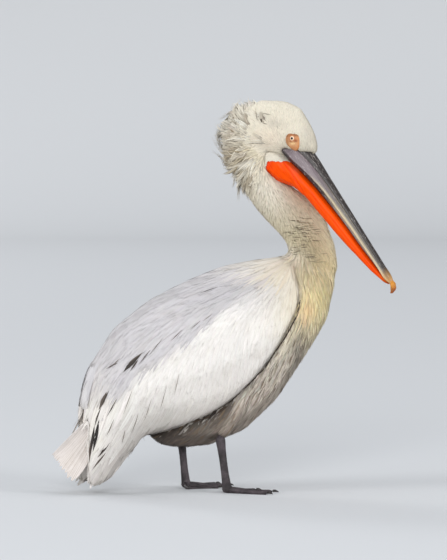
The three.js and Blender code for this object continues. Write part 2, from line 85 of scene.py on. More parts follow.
Colour = tuple[float, float, float, float]
Array = np.ndarray
Chance = np.random.Generator
Each = Array | float  # one value for all rows, or one for each
Nodes = dict[str, Object]
Outline = tuple[list[Vector], list[list[int]]]
Shafts = tuple[Array, Array, Array]  # places, normals and headings, by feather and level
Table = tuple[tuple[float, ...], ...]


# ---- colour and nodes


def linear(code: str) -> Colour:
    """The linear colour of an sRGB hex value.

    Args:
        code: a colour such as "#E9E5DE".

    Returns:
        Red, green, blue and an alpha of 1.
    """
    values = [int(code[i : i + 2], 16) / 255 for i in (1, 3, 5)]
    red, green, blue = [v / 12.92 if v <= 0.04045 else ((v + 0.055) / 1.055) ** 2.4 for v in values]
    return (red, green, blue, 1.0)


def rgb(code: str) -> Array:
    """The linear red, green and blue of an sRGB hex value."""
    return np.array(linear(code)[:3])


def tint(tones: Array, code: str, share: Each) -> Array:
    """Rows of colours moved towards one colour.

    Args:
        tones: rows of linear red, green and blue.
        code: the sRGB hex value to move to.
        share: how far, for all rows or for each.

    Returns:
        The new rows.
    """
    cover = np.asarray(share, dtype=float)
    cover = cover[:, None] if cover.ndim == 1 else cover
    return tones * (1 - cover) + rgb(code) * cover


def add(tree: NodeTree, kind: str, values: dict[str | int, Any] | None = None) -> Node:
    """Adds one node to a tree, with its settings and links.

    Args:
        tree: the material's or world's node tree.
        kind: the node's type name, without the leading "ShaderNode".
        values: its own properties, and its inputs by name or index, each a constant or a socket to link.

    Returns:
        The new node.
    """
    made = tree.nodes.new("ShaderNode" + kind)
    for name, value in (values or {}).items():
        if isinstance(value, NodeSocket):
            tree.links.new(value, made.inputs[name])
        elif isinstance(name, int) or not hasattr(made, name):
            made.inputs[name].default_value = value
        else:
            setattr(made, name, value)
    return made


def new_material(name: str) -> tuple[Material, NodeTree]:
    """An empty node material.

    Args:
        name: the finish's name.

    Returns:
        The material and its node tree, which holds nothing yet.
    """
    material = bpy.data.materials.new(name)
    material.use_nodes = True
    material.node_tree.nodes.clear()
    return material, material.node_tree


def surfaced(
    tree: NodeTree,
    shade: NodeSocket,
    roughness: float,
    gloss: float,
    relief: tuple[NodeSocket, float, float] | None = None,
    more: dict[str, float] | None = None,
) -> None:
    """Ends a material with its relief, its surface and its output.

    Args:
        tree: the material's node tree.
        shade: the base colour.
        roughness: the surface's roughness.
        gloss: its specular level.
        relief: the relief's height from 0 to 1, its strength, and its real depth in metres.
        more: the surface's other plain values.
    """
    values: dict[str | int, Any] = {"Roughness": roughness, "Specular IOR Level": gloss, **(more or {})}
    values["Base Color"] = shade
    if relief:
        height, strength, depth = relief
        bump = add(tree, "Bump", {"Strength": strength, "Distance": depth, "Height": height})
        values["Normal"] = bump.outputs["Normal"]
    surface = add(tree, "BsdfPrincipled", values)
    add(tree, "OutputMaterial", {"Surface": surface.outputs[0]})


# ---- finishes


@dataclass(frozen=True)
class Plumage:
    """Feather keratin: matt and softly fibrous, each vane combed into barbs on both sides of its shaft."""

    name: str
    shaft_share: float = 0.35  # how clearly the shaft shows
    barb_share: float = 0.35  # how much the barbs darken the vane
    root_share: float = 0.35  # how much the grey down and the painted shade between parted feathers darken the root
    shaft: str = "#B9B2A8"
    root_shade: str = "#A39C92"  # grey down at the root, which shows only where feathers part, used also as painted shade in those gaps
    shaft_half: float = 0.035  # half width of the shaft, as a share of the vane
    barbs: float = 9.0  # strands in half a vane, drawn coarser than the real 0.3 mm so that they show
    relief: float = 0.25 * MM
    roughness: float = 0.78

    def build(self) -> Material:
        """Builds the finish on the piece's own tone, seed and vane map.

        Returns:
            The material.
        """
        material, tree = new_material(self.name)
        tone = add(tree, "Attribute", {"attribute_name": "tone"}).outputs["Color"]
        seed = add(tree, "Attribute", {"attribute_name": "seed"}).outputs["Fac"]
        vane = add(tree, "UVMap", {"uv_map": "Vane"}).outputs["UV"]
        parts = add(tree, "SeparateXYZ", {0: vane}).outputs
        centred = add(tree, "Math", {"operation": "SUBTRACT", 0: parts["X"], 1: 0.5}).outputs[0]
        aside = add(tree, "Math", {"operation": "ABSOLUTE", 0: centred}).outputs[0]
        swept = add(tree, "Math", {"operation": "MULTIPLY", 0: parts["Y"], 1: 0.3}).outputs[0]
        fan = add(tree, "Math", {"operation": "SUBTRACT", 0: aside, 1: swept}).outputs[0]
        strand = add(tree, "Math", {"operation": "MULTIPLY", 0: fan, 1: self.barbs * 2}).outputs[0]
        along = add(tree, "Math", {"operation": "MULTIPLY", 0: parts["Y"], 1: 2.5}).outputs[0]
        comb = add(tree, "CombineXYZ", {0: strand, 1: along}).outputs[0]
        fine = {"noise_dimensions": "4D", "Scale": 1.0, "Detail": 3.0, "Roughness": 0.6}
        barb = add(tree, "TexNoise", {**fine, "Vector": comb, "W": seed}).outputs["Fac"]
        gaps = add(tree, "MapRange", {**SMOOTH, 0: barb, 1: 0.62, 2: 0.36}).outputs[0]
        fibre = add(tree, "Math", {"operation": "MULTIPLY", 0: gaps, 1: self.barb_share}).outputs[0]
        shade = add(tree, "Mix", {**STAIN, 0: fibre, 6: tone, 7: linear(self.shaft)}).outputs[2]
        # partly painted shade: each vane darkens towards its root, for its grey down and for the shade
        # where feathers part
        reach = {0: parts["Y"], 1: 0.55, 2: 0.05, 4: self.root_share}
        root = add(tree, "MapRange", {**SMOOTH, **reach}).outputs[0]
        shade = add(tree, "Mix", {**STAIN, 0: root, 6: shade, 7: linear(self.root_shade)}).outputs[2]
        line = {0: aside, 1: self.shaft_half, 2: self.shaft_half * 0.4, 4: self.shaft_share}
        shaft = add(tree, "MapRange", {**SMOOTH, **line}).outputs[0]
        shade = add(tree, "Mix", {**LAY, 0: shaft, 6: shade, 7: linear(self.shaft)}).outputs[2]
        place = add(tree, "TexCoord").outputs["Object"]
        wear = add(tree, "TexNoise", {"Scale": 28.0, "Detail": 4.0, "Vector": place}).outputs["Fac"]
        worn = add(tree, "MapRange", {**SMOOTH, 0: wear, 1: 0.5, 2: 0.75, 4: 0.1}).outputs[0]
        shade = add(tree, "Mix", {**STAIN, 0: worn, 6: shade, 7: linear("#B5A88F")}).outputs[2]
        sheen = {"Sheen Weight": 0.15, "Sheen Roughness": 0.6}
        surfaced(tree, shade, self.roughness, 0.25, (barb, 0.6, self.relief), sheen)
        return material


@dataclass(frozen=True)
class DownySkin:
    """Skin under short down: matt, carrying the same markings as the feathers over it."""

    name: str = "downy_skin"
    roughness: float = 0.9

    def build(self) -> Material:
        """Builds the finish on the skin's own tone.

        Returns:
            The material.
        """
        material, tree = new_material(self.name)
        tone = add(tree, "Attribute", {"attribute_name": "tone"}).outputs["Color"]
        place = add(tree, "TexCoord").outputs["Object"]
        fluff = {"Scale": 420.0, "Detail": 5.0, "Roughness": 0.65, "Vector": place}
        down = add(tree, "TexNoise", fluff).outputs["Fac"]
        shade = add(tree, "Mix", {**STAIN, 0: 0.3, 6: tone, 7: linear("#A79F94")}).outputs[2]
        hollow = add(tree, "MapRange", {**SMOOTH, 0: down, 1: 0.4, 2: 0.7, 4: 0.25}).outputs[0]
        shade = add(tree, "Mix", {**STAIN, 0: hollow, 6: shade, 7: linear("#A79F94")}).outputs[2]
        surfaced(tree, shade, self.roughness, 0.2, (down, 0.8, 1.2 * MM))
        return material


@dataclass(frozen=True)
class StudioPaper:
    """Painted studio floor: a plain pale matt surface, seen paler than the light that it throws back."""

    name: str = "studio_paper"
    seen: str = "#DFE2E5"
    bounced: str = "#8C8985"

    def build(self) -> Material:
        """Builds the finish: one tone for the camera and glossy rays, a darker one for bounced light.

        Returns:
            The material.
        """
        material, tree = new_material(self.name)
        path = add(tree, "LightPath").outputs
        seen = {"operation": "MAXIMUM", 0: path["Is Camera Ray"], 1: path["Is Glossy Ray"]}
        tones = {0: add(tree, "Math", seen).outputs[0], 6: linear(self.bounced), 7: linear(self.seen)}
        shade = add(tree, "Mix", {**LAY, **tones}).outputs[2]
        surfaced(tree, shade, 0.95, 0.1)
        return material


# ---- mesh helpers


def unit(vectors: Array) -> Array:
    """Vectors scaled to length 1 along their last axis."""
    return vectors / np.maximum(np.linalg.norm(vectors, axis=-1, keepdims=True), 1e-9)


def flat(vectors: Array, normals: Array) -> Array:
    """Unit vectors turned into the plane across the normals."""
    return unit(vectors - normals * np.sum(vectors * normals, axis=-1, keepdims=True))


def grade(values: Array, start: Each, width: Each) -> Array:
    """A share that grows evenly over a stretch.

    Args:
        values: what it follows.
        start: where the share is still 0.
        width: how much further on it is 1, negative where it grows towards smaller values.

    Returns:
        The share at each value.
    """
    return np.clip((values - start) / width, 0, 1)


def bell(values: Array, middle: Each, width: Each) -> Array:
    """A share that is 1 at the middle and falls away on both sides of it.

    Args:
        values: what it follows.
        middle: where it is 1.
        width: how far from there it has fallen to a third.

    Returns:
        The share at each value.
    """
    return np.exp(-(((values - middle) / width) ** 2))


def vertices_of(mesh: Mesh) -> Array:
    """A mesh's vertex places.

    Args:
        mesh: the mesh.

    Returns:
        Rows of x, y and z.
    """
    places = np.empty(len(mesh.vertices) * 3)
    mesh.vertices.foreach_get("co", places)
    return places.reshape(-1, 3)


def move(mesh: Mesh, places: Array) -> None:
    """Puts a mesh's vertices at rows of places."""
    mesh.vertices.foreach_set("co", places.ravel())
    mesh.update()


def depths(tree: BVHTree, points: Array) -> Array:
    """Each point's distance from the surface in a search tree."""
    return np.array([tree.find_nearest(p)[3] for p in points.tolist()])


def add_object(name: str, mesh: Mesh, material: Material | None = None) -> Object:
    """Links a mesh to the scene as an object at the origin.

    Args:
        name: the piece's name.
        mesh: its mesh, already in place.
        material: its finish.

    Returns:
        The new object.
    """
    piece = bpy.data.objects.new(name, mesh)
    bpy.context.scene.collection.objects.link(piece)
    if material:
        mesh.materials.append(material)
    return piece


def mesh_from(name: str, shape: BMesh) -> Mesh:
    """Turns a bmesh into a smooth-shaded mesh and frees it.

    Args:
        name: the mesh's name.
        shape: what it is made from.

    Returns:
        The mesh.
    """
    mesh = bpy.data.meshes.new(name)
    shape.to_mesh(mesh)
    shape.free()
    mesh.polygons.foreach_set("use_smooth", [True] * len(mesh.polygons))
    return mesh


def final_mesh(piece: Object) -> Mesh:
    """A copy of an object's mesh with its modifiers applied."""
    evaluated = piece.evaluated_get(bpy.context.evaluated_depsgraph_get())
    return bpy.data.meshes.new_from_object(evaluated)


def fused(name: str, nodes: Iterable[Object], voxel: float, swell: float) -> Mesh:
    """One closed mesh round a few neighbouring solids.

    Args:
        name: the new mesh's name.
        nodes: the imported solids.
        voxel: the new mesh's edge length.
        swell: how far each solid grows first, so that the thin gaps between them close.

    Returns:
        The remeshed shape.
    """
    shape = bmesh.new()
    for node in nodes:
        shape.from_mesh(node.data)
    bmesh.ops.remove_doubles(shape, verts=shape.verts, dist=0.01 * MM)
    bmesh.ops.recalc_face_normals(shape, faces=shape.faces)
    shape.normal_update()
    for vertex in shape.verts:
        vertex.co += vertex.normal * swell
    source = add_object(name + "_source", mesh_from(name + "_source", shape))
    remesh = source.modifiers.new("Remesh", "REMESH")
    remesh.mode = "VOXEL"
    remesh.voxel_size = voxel
    mesh = final_mesh(source)
    mesh.name = name
    bpy.data.objects.remove(source)
    return mesh


def largest_body(mesh: Mesh) -> None:
    """Deletes all but the largest connected body of a mesh.

    Args:
        mesh: the mesh, which is changed.
    """
    shape = bmesh.new()
    shape.from_mesh(mesh)
    shape.verts.ensure_lookup_table()
    unseen = set(range(len(shape.verts)))
    bodies: list[list[int]] = []
    while unseen:
        body = [unseen.pop()]
        for index in body:
            for edge in shape.verts[index].link_edges:
                other = edge.other_vert(shape.verts[index]).index
                if other in unseen:
                    unseen.remove(other)
                    body.append(other)
        bodies.append(body)
    keep = set(max(bodies, key=len))
    bmesh.ops.delete(shape, geom=[v for v in shape.verts if v.index not in keep], context="VERTS")
    bmesh.ops.triangulate(shape, faces=shape.faces)
    shape.to_mesh(mesh)
    shape.free()


def outline_of(piece: Object) -> Outline:
    """A piece's corners and faces."""
    return [v.co.copy() for v in piece.data.vertices], [list(p.vertices) for p in piece.data.polygons]


def search_tree(shapes: Iterable[Outline]) -> BVHTree:
    """A search tree over a few shapes.

    Args:
        shapes: the corners and faces of each.

    Returns:
        The tree, its faces numbered through in the same order.
    """
    corners: list[Vector] = []
    faces: list[list[int]] = []
    for places, polygons in shapes:
        faces += [[len(corners) + i for i in polygon] for polygon in polygons]
        corners += places
    return BVHTree.FromPolygons(corners, faces)


class Web:
    """The edges and triangles of a mesh as arrays, to smooth places and values over its surface."""

    def __init__(self, mesh: Mesh) -> None:
        """Reads the mesh's edges and triangles.

        Args:
            mesh: a mesh of triangles.
        """
        corners = np.empty(len(mesh.loops), dtype=np.int64)
        mesh.loops.foreach_get("vertex_index", corners)
        self.faces = corners.reshape(-1, 3)
        edges = np.empty(len(mesh.edges) * 2, dtype=np.int64)
        mesh.edges.foreach_get("vertices", edges)
        self.ends = edges.reshape(-1, 2)
        self.size = len(mesh.vertices)
        self.degree = np.bincount(edges, minlength=self.size).astype(float)

    def normals(self, places: Array) -> Array:
        """Vertex normals if the vertices were at these places.

        Args:
            places: a row for each vertex.

        Returns:
            Unit normals.
        """
        a, b, c = (places[self.faces[:, i]] for i in range(3))
        across = np.cross(b - a, c - a)
        sums = np.zeros_like(places)
        for i in range(3):
            for j in range(3):
                sums[:, j] += np.bincount(self.faces[:, i], across[:, j], len(places))
        return unit(sums)

    def restored(self, solids: BVHTree, soft: Array, limit: float, times: int) -> Array:
        """Relaxed places moved back out or in by how far they left the solids, itself smoothed.

        Args:
            solids: the surface that they came from.
            soft: the relaxed places.
            limit: the most that is given back.
            times: how often the depth is smoothed.

        Returns:
            The places, as large as the solids again.
        """
        normals = self.normals(soft)
        pairs = zip(soft.tolist(), normals)
        sunk = [float(np.dot(np.array(solids.find_nearest(p)[0]) - p, n)) for p, n in pairs]
        return soft + normals * self.smooth(np.clip(np.array(sunk), -limit, limit), times)[:, None]

    def mean(self, values: Array) -> Array:
        """The mean of the neighbours' values at each vertex.

        Args:
            values: one value or row for each vertex.

        Returns:
            The means, in the same form.
        """
        first, second = self.ends.T
        columns = values.reshape(self.size, -1)
        sums = np.empty_like(columns)
        for i in range(columns.shape[1]):
            to_first = np.bincount(first, columns[second, i], self.size)
            sums[:, i] = to_first + np.bincount(second, columns[first, i], self.size)
        return (sums / self.degree[:, None]).reshape(values.shape)

    def smooth(self, values: Array, times: int, share: Each = 0.5) -> Array:
        """Relaxes values towards their neighbours' mean.

        Args:
            values: one row for each vertex.
            times: how often.
            share: how far each step goes, for all vertices or for each.

        Returns:
            The relaxed values.
        """
        for _ in range(times):
            values = values + (self.mean(values) - values) * share
        return values


# ---- the bird's own frames


@dataclass(frozen=True)
class HeadFrame:
    """The turned head's own frame in millimetres: x ahead, y to its left, z up from the floor."""

    eye_ahead: float = 73.0
    eye_aside: float = 31.5
    eye_height: float = 863.0
    eye_radius: float = 9.5

    @functools.lru_cache(maxsize=4)
    def axes(self) -> tuple[Vector, Vector, Vector]:
        """The frame, found from the places of the two eyes.

        Returns:
            Its zero, and its directions ahead and left.
        """
        centres = [(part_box(node)[0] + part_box(node)[1]) / 2 for node in ("eye_right", "eye_left")]
        left = (centres[1] - centres[0]).normalized()
        ahead = left.cross(Vector((0, 0, 1))).normalized()
        middle = (centres[0] + centres[1]) / 2
        zero = middle - ahead * self.eye_ahead * MM
        return Vector((zero.x, zero.y, middle.z - self.eye_height * MM)), ahead, left

    def point(self, x: float, y: float, z: float) -> Vector:
        """A point of the head in the row frame."""
        zero, ahead, left = self.axes()
        return zero + ahead * x * MM + left * y * MM + Vector((0, 0, z * MM))


@dataclass(frozen=True)
class BillFrame:
    """The bill's own frame in mm: s along the ridge from the forehead, n above it, y to the left."""

    head: HeadFrame
    pitch: float = math.radians(56.5)
    base_ahead: float = 110.0
    base_height: float = 840.0

    def point(self, s: float, n: float, y: float) -> Vector:
        """A point of the bill in the row frame.

        Args:
            s: mm along the ridge.
            n: mm above it.
            y: mm to the left.

        Returns:
            The point, in metres.
        """
        x = self.base_ahead + s * math.cos(self.pitch) + n * math.sin(self.pitch)
        z = self.base_height - s * math.sin(self.pitch) + n * math.cos(self.pitch)
        return self.head.point(x, y, z)

    def places(self, points: Array) -> Array:
        """Row-frame points in the bill's own frame.

        Args:
            points: rows of places in metres.

        Returns:
            Rows of s, n and y in mm.
        """
        zero, ahead, left = self.head.axes()
        away = (points - np.array(zero)) / MM
        x = away @ np.array(ahead) - self.base_ahead
        z = away[:, 2] - self.base_height
        s = x * math.cos(self.pitch) - z * math.sin(self.pitch)
        n = x * math.sin(self.pitch) + z * math.cos(self.pitch)
        return np.stack([s, n, away @ np.array(left)], axis=1)


# ---- markings


@dataclass(frozen=True)
class Mark:
    """One soft patch of colour on the plumage, the same on the skin and on the feathers."""

    colour: str
    place: tuple[float, float, float]
    reach: tuple[float, float, float]
    share: float = 1.0

    def cover(self, points: Array) -> Array:
        """How much of the mark shows at each point, from 0 to its share."""
        away = (points - np.array(self.place)) / np.array(self.reach)
        return self.share * np.exp(-0.5 * np.sum(away**2, axis=1))


@dataclass(frozen=True)
class Markings:
    """The plumage's ground colours by tract, with the soft patches over them."""

    grounds: dict[str, str]
    marks: tuple[Mark, ...]

    def at(self, points: Array, tracts: Sequence[str]) -> Array:
        """The linear colour at each point.

        Args:
            points: places in the row frame.
            tracts: the tract of each point.

        Returns:
            Rows of red, green and blue.
        """
        table = {name: rgb(code) for name, code in self.grounds.items()}
        tones = np.array([table[tract] for tract in tracts])
        for mark in self.marks:
            tones = tint(tones, mark.colour, mark.cover(points))
        return tones


class Tract(str, Enum):
    """The feather tracts of the body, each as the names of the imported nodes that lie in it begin."""

    HEAD = "head"
    CREST = "crest"
    NECK = "neck"
    TRUNK = "trunk"
    THIGH = "thigh"
    MANTLE = "wing_scapulars"
    COVERT = "wing_coverts"
    FLIGHT = "wing_secondaries"
    TIP = "wing_primaries"


WING = (Tract.MANTLE, Tract.COVERT, Tract.FLIGHT, Tract.TIP)


def tract_of(node: str) -> Tract | None:
    """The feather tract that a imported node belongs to, or None for bare parts and the tail."""
    return next((tract for tract in Tract if node.startswith(tract.value)), None)


PLUMAGE_MARKS = Markings(
    grounds={
        Tract.HEAD: "#E9E3D2",
        Tract.CREST: "#EAE6DA",
        Tract.NECK: "#DAD1B8",
        Tract.TRUNK: "#E2DCD0",
        Tract.THIGH: "#B9AFA2",
        Tract.MANTLE: "#CFCDD0",
        Tract.COVERT: "#F6F4F1",
        Tract.FLIGHT: "#F9F7F4",
        Tract.TIP: "#FAF8F5",
    },
    marks=(
        Mark("#FFF0B6", (0.240, 0.0, 0.492), (0.062, 0.085, 0.080), 0.97),
        Mark("#F6CC90", (0.212, -0.06, 0.462), (0.014, 0.05, 0.024), 0.5),
        # dark brown underside: partly real staining, partly painted shade
        Mark("#52403A", (-0.06, 0.02, 0.14), (0.16, 0.12, 0.046), 0.93),
        Mark("#CBBFB4", (0.13, 0.02, 0.22), (0.10, 0.12, 0.080), 0.85),
        Mark("#8A8176", (0.200, -0.06, 0.358), (0.013, 0.07, 0.040), 0.8),
        Mark("#93835C", (0.210, -0.05, 0.590), (0.028, 0.05, 0.038), 0.8),
        Mark("#CFC6AE", (0.185, -0.05, 0.690), (0.030, 0.05, 0.040), 0.5),
        # the ear whorl: a dark grey mark, partly painted shade in its curl, round a pale centre
        Mark("#7A766F", (0.107, -0.055, 0.907), (0.0065, 0.03, 0.0055), 0.95),
        Mark("#F1EEE4", (0.104, -0.055, 0.9085), (0.003, 0.03, 0.0025), 0.9),
        Mark("#B4AFA6", (0.133, -0.06, 0.892), (0.011, 0.03, 0.006), 0.6),
        Mark("#C9C3B8", (0.205, -0.05, 0.862), (0.010, 0.03, 0.02), 0.5),
        Mark("#FFF0DC", (0.118, -0.06, 0.855), (0.022, 0.03, 0.02), 0.7),
        Mark("#9A8253", (0.052, 0.03, 0.812), (0.014, 0.06, 0.018), 0.75),
        Mark("#948468", (0.052, 0.02, 0.852), (0.011, 0.06, 0.030), 0.6),
        Mark("#F5F1E6", (0.12, -0.04, 0.74), (0.035, 0.05, 0.05), 0.7),
        Mark("#F2EFE8", (0.130, 0.02, 0.582), (0.050, 0.09, 0.018), 0.85),
        Mark("#F0EBE4", (-0.285, 0.02, 0.27), (0.030, 0.12, 0.060), 0.75),
        # grey bands along the mantle's lower border: partly the mantle's own grey, partly painted shade
        *(Mark("#BFBEC2", (0.055, y, 0.510), (0.070, 0.06, 0.020), 0.65) for y in (-0.07, 0.117)),
        *(Mark("#BCBBBF", (0.105, y, 0.534), (0.050, 0.06, 0.012), 0.7) for y in (-0.07, 0.117)),
    ),
)


# ---- skin


@dataclass(frozen=True)
class WingFlow:
    """Which way the wing's feathers run: degrees below the horizontal at places of the side view."""

    guides: Table = (
        (0.160, 0.47, 86), (0.165, 0.54, 70), (0.060, 0.37, 82), (-0.03, 0.30, 78),
        (-0.12, 0.25, 72), (-0.19, 0.22, 68), (-0.27, 0.15, 63), (-0.33, 0.22, 70),
        (-0.34, 0.08, 62), (0.10, 0.52, 30), (0.01, 0.49, 26), (-0.12, 0.44, 37),
        (-0.22, 0.37, 48), (-0.30, 0.32, 58), (0.03, 0.44, 62), (-0.08, 0.37, 62),
    )
    reach: float = 0.045

    def at(self, points: Array) -> Array:
        """The unit heading of the wing's feathers at each point.

        Args:
            points: rows of places.

        Returns:
            Rows of unit vectors.
        """
        table = np.array(self.guides)
        away = points[:, None, [0, 2]] - table[None, :, :2]
        weight = np.exp(-0.5 * np.sum(away**2, axis=2) / self.reach**2) + 1e-12
        angle = np.radians(np.sum(weight * table[:, 2], axis=1) / np.sum(weight, axis=1))
        return np.stack([-np.cos(angle), np.zeros_like(angle), -np.sin(angle)], axis=1)


@dataclass
class Skin:
    """The one skin under the whole coat, with the lie of the feathers over it."""

    bill: BillFrame
    voxel: float = 5 * MM
    swell: float = 0.6 * MM
    relaxings: int = 34
    coat: tuple[float, ...] = (3.0, 5.0, 5.0, 8.0, 6.0, 7.0, 6.0, 6.0, 5.0)  # its depth by tract, mm
    flow: WingFlow = WingFlow()
    full_place: tuple[float, float, float] = (0.230, 0.02, 0.697)  # where the foreneck's coat is fuller
    full_reach: tuple[float, float, float] = (0.045, 0.06, 0.038)

    def build(self, nodes: Nodes) -> Object:
        """Fuses the nodes of flesh, smooths them and sinks them under the coat.

        Args:
            nodes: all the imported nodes.

        Returns:
            The skin.
        """
        flesh = [name for name in sorted(nodes) if tract_of(name)]
        mesh = fused("skin", [nodes[name] for name in flesh], self.voxel, self.swell)
        largest_body(mesh)
        web = Web(mesh)
        places = vertices_of(mesh)
        shell = search_tree(outline_of(nodes[name]) for name in flesh)
        owners = [tract_of(name) for name in flesh for _ in nodes[name].data.polygons]
        self.tracts = [owners[shell.find_nearest(p)[2]] for p in places.tolist()]
        bald = [outline_of(nodes[n]) for n in ("upper_bill", "shank_right", "shank_left")]
        soft = [outline_of(nodes[n]) for n in ("lower_bill", "pouch", "eye_right", "eye_left")]
        margin = depths(search_tree(bald + soft), places)
        bald += [Eye(self.bill.head, side).patch(nodes) for side in ("right", "left")]
        self.bald_tree, self.horn_tree = search_tree(bald), search_tree(bald[:1])
        ease = np.clip(margin / (14 * MM), 0.08, 1.0)
        ease *= np.where(self._on((Tract.TIP,)), 0.35, 1.0)
        ease *= np.where(self._on((Tract.HEAD,)), 0.8, 1.0)
        relaxed = web.smooth(places, self.relaxings, 0.5 * web.smooth(ease, 4)[:, None])
        restored = web.restored(shell, relaxed, 12 * MM, 12)
        normals = web.normals(restored)
        coat = dict(zip(Tract, self.coat))
        depth = np.array([coat[t] for t in self.tracts]) * MM
        depth = web.smooth(depth, 3) * np.clip(margin / (25 * MM), 0.15, 1.0)
        seam = self._seam(restored)
        winged = self._on(WING)
        depth += seam * np.where(winged, -3.0, 9.0) * MM
        away = (restored - np.array(self.full_place)) / np.array(self.full_reach)
        full = np.exp(-0.5 * np.sum(away**2, axis=1)) * np.clip(normals[:, 0] * 1.5, 0, 1) * 14 * MM
        final = restored + normals * (full - depth)[:, None]
        move(mesh, final)
        self.mesh, self.web, self.places = mesh, web, final
        self.normals, self.faces = web.normals(final), web.faces
        self.tree = BVHTree.FromPolygons(final.tolist(), self.faces.tolist())
        self.heading = self._headings()
        self.skin_map = self._unwrap()
        piece = add_object("skin", mesh, DownySkin().build())
        mesh.polygons.foreach_set("use_smooth", [True] * len(mesh.polygons))
        tones = self.web.smooth(PLUMAGE_MARKS.at(final, self.tracts), 1)
        # painted shadow: the body's skin under the wing's edge, and the feathers that take its tone, turn
        # dark brown
        self.tone = tint(tones, "#3A312A", 0.95 * seam * ~winged)
        set_layer(mesh, "tone", self.tone)
        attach(piece, ROOT)
        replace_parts(piece, *flesh)
        return piece

    def _on(self, tracts: Sequence[Tract]) -> Array:
        """Which vertices lie on some tracts."""
        return np.array([t in tracts for t in self.tracts])

    def faces_on(self, *tracts: Tract) -> Array:
        """Which faces lie on some tracts."""
        return self._on(tracts)[self.faces[:, 0]]

    def _seam(self, places: Array) -> Array:
        """The border of wing and body below the shoulder; the body's side there gets painted shadow.

        Args:
            places: the skin's vertices.

        Returns:
            A share at each vertex, from 1 on the border to 0 away from it.
        """
        winged = self._on(WING)
        seam = np.zeros(len(places))
        for own in (True, False):
            tree = KDTree(int((winged != own).sum()))
            for i in np.nonzero(winged != own)[0].tolist():
                tree.insert(places[i].tolist(), i)
            tree.balance()
            mine = np.nonzero(winged == own)[0]
            away = np.array([tree.find(places[i].tolist())[2] for i in mine.tolist()])
            broad = np.where(own, 9.0, np.interp(places[mine, 0], (0.0, 0.06), (38.0, 9.0))) * MM
            seam[mine] = bell(away, 0, broad)
        return seam * (grade(places[:, 2], 0.485, -0.03) * grade(places[:, 0], -0.235, 0.03))

    def _headings(self) -> Array:
        """The lie of the coat: away from the bill, and on the wings along their own lines.

        Returns:
            A unit vector at each vertex.
        """
        seeds = np.nonzero(depths(self.horn_tree, self.places) < 5 * MM)[0]
        distance = self.web.smooth(self._travel(seeds), 12)
        first, second = self.web.ends.T
        steps = self.places[second] - self.places[first]
        rise = (distance[second] - distance[first])[:, None] * steps / np.sum(steps**2, axis=1)[:, None]
        slope = np.zeros_like(self.places)
        for j in range(3):
            at_first = np.bincount(first, rise[:, j], len(slope))
            slope[:, j] = at_first + np.bincount(second, rise[:, j], len(slope))
        lie = flat(slope, self.normals)
        lie = np.where(self._on(WING)[:, None], flat(self.flow.at(self.places), self.normals), lie)
        for _ in range(6):
            lie = flat(self.web.smooth(lie, 1), self.normals)
        return lie

    def _travel(self, seeds: Array) -> Array:
        """The shortest way over the skin from a few vertices to every other one.

        Args:
            seeds: the numbers of the vertices to start from.

        Returns:
            The length of the way to each vertex.
        """
        links: list[list[tuple[int, float]]] = [[] for _ in self.places]
        first, second = self.web.ends.T
        lengths = np.linalg.norm(self.places[first] - self.places[second], axis=1)
        for (a, b), length in zip(self.web.ends.tolist(), lengths.tolist()):
            links[a].append((b, length))
            links[b].append((a, length))
        best = np.full(len(self.places), np.inf)
        queue = [(0.0, int(seed)) for seed in seeds]
        best[seeds] = 0.0
        heapq.heapify(queue)
        while queue:
            way, here = heapq.heappop(queue)
            if way > best[here]:
                continue
            for there, length in links[here]:
                if way + length < best[there]:
                    best[there] = way + length
                    heapq.heappush(queue, (way + length, there))
        return best

    def _unwrap(self) -> Array:
        """Unwraps the skin's own shape.

        Returns:
            One map place for each face.
        """
        piece = add_object("skin_unwrap", self.mesh)
        bpy.context.view_layer.objects.active = piece
        piece.select_set(True)
        self.mesh.uv_layers.new(name="OFBake")
        bpy.ops.object.mode_set(mode="EDIT")
        bpy.ops.mesh.select_all(action="SELECT")
        bpy.ops.uv.smart_project(angle_limit=math.radians(60), island_margin=0.004)
        bpy.ops.object.mode_set(mode="OBJECT")
        places = np.empty(len(self.mesh.loops) * 2)
        self.mesh.uv_layers["OFBake"].uv.foreach_get("vector", places)
        bpy.data.objects.remove(piece)
        return places.reshape(-1, 3, 2).mean(axis=1)

    def settle(self, points: Array) -> tuple[Array, Array, Array, Array]:
        """Drops points onto the skin.

        Args:
            points: rows of places near the skin.

        Returns:
            The places on the skin, the normals, the lie of the coat there, and the faces.
        """
        found = [self.tree.find_nearest(p) for p in points.tolist()]
        places = np.array([f[0] for f in found])
        faces = np.array([f[2] for f in found])
        corners = self.faces[faces]
        normals = unit(self.normals[corners].mean(axis=1))
        return places, normals, flat(self.heading[corners].mean(axis=1), normals), faces

    def read(self, values: Array, points: Array) -> Array:
        """A value of the skin's vertices at points near it."""
        faces = self.settle(points)[3]
        return values[self.faces[faces]].mean(axis=1)

    def clearance(self, points: Array) -> Array:
        """How far points lie from the nearest bare part.

        Args:
            points: rows of places.

        Returns:
            The distances, 0 inside the bill.
        """
        rooms = []
        for point in points.tolist():
            near, outwards, _, _ = self.horn_tree.find_nearest(point)
            inside = (Vector(point) - near).dot(outwards) < 0
            rooms.append(0.0 if inside else self.bald_tree.find_nearest(point)[3])
        return np.array(rooms)

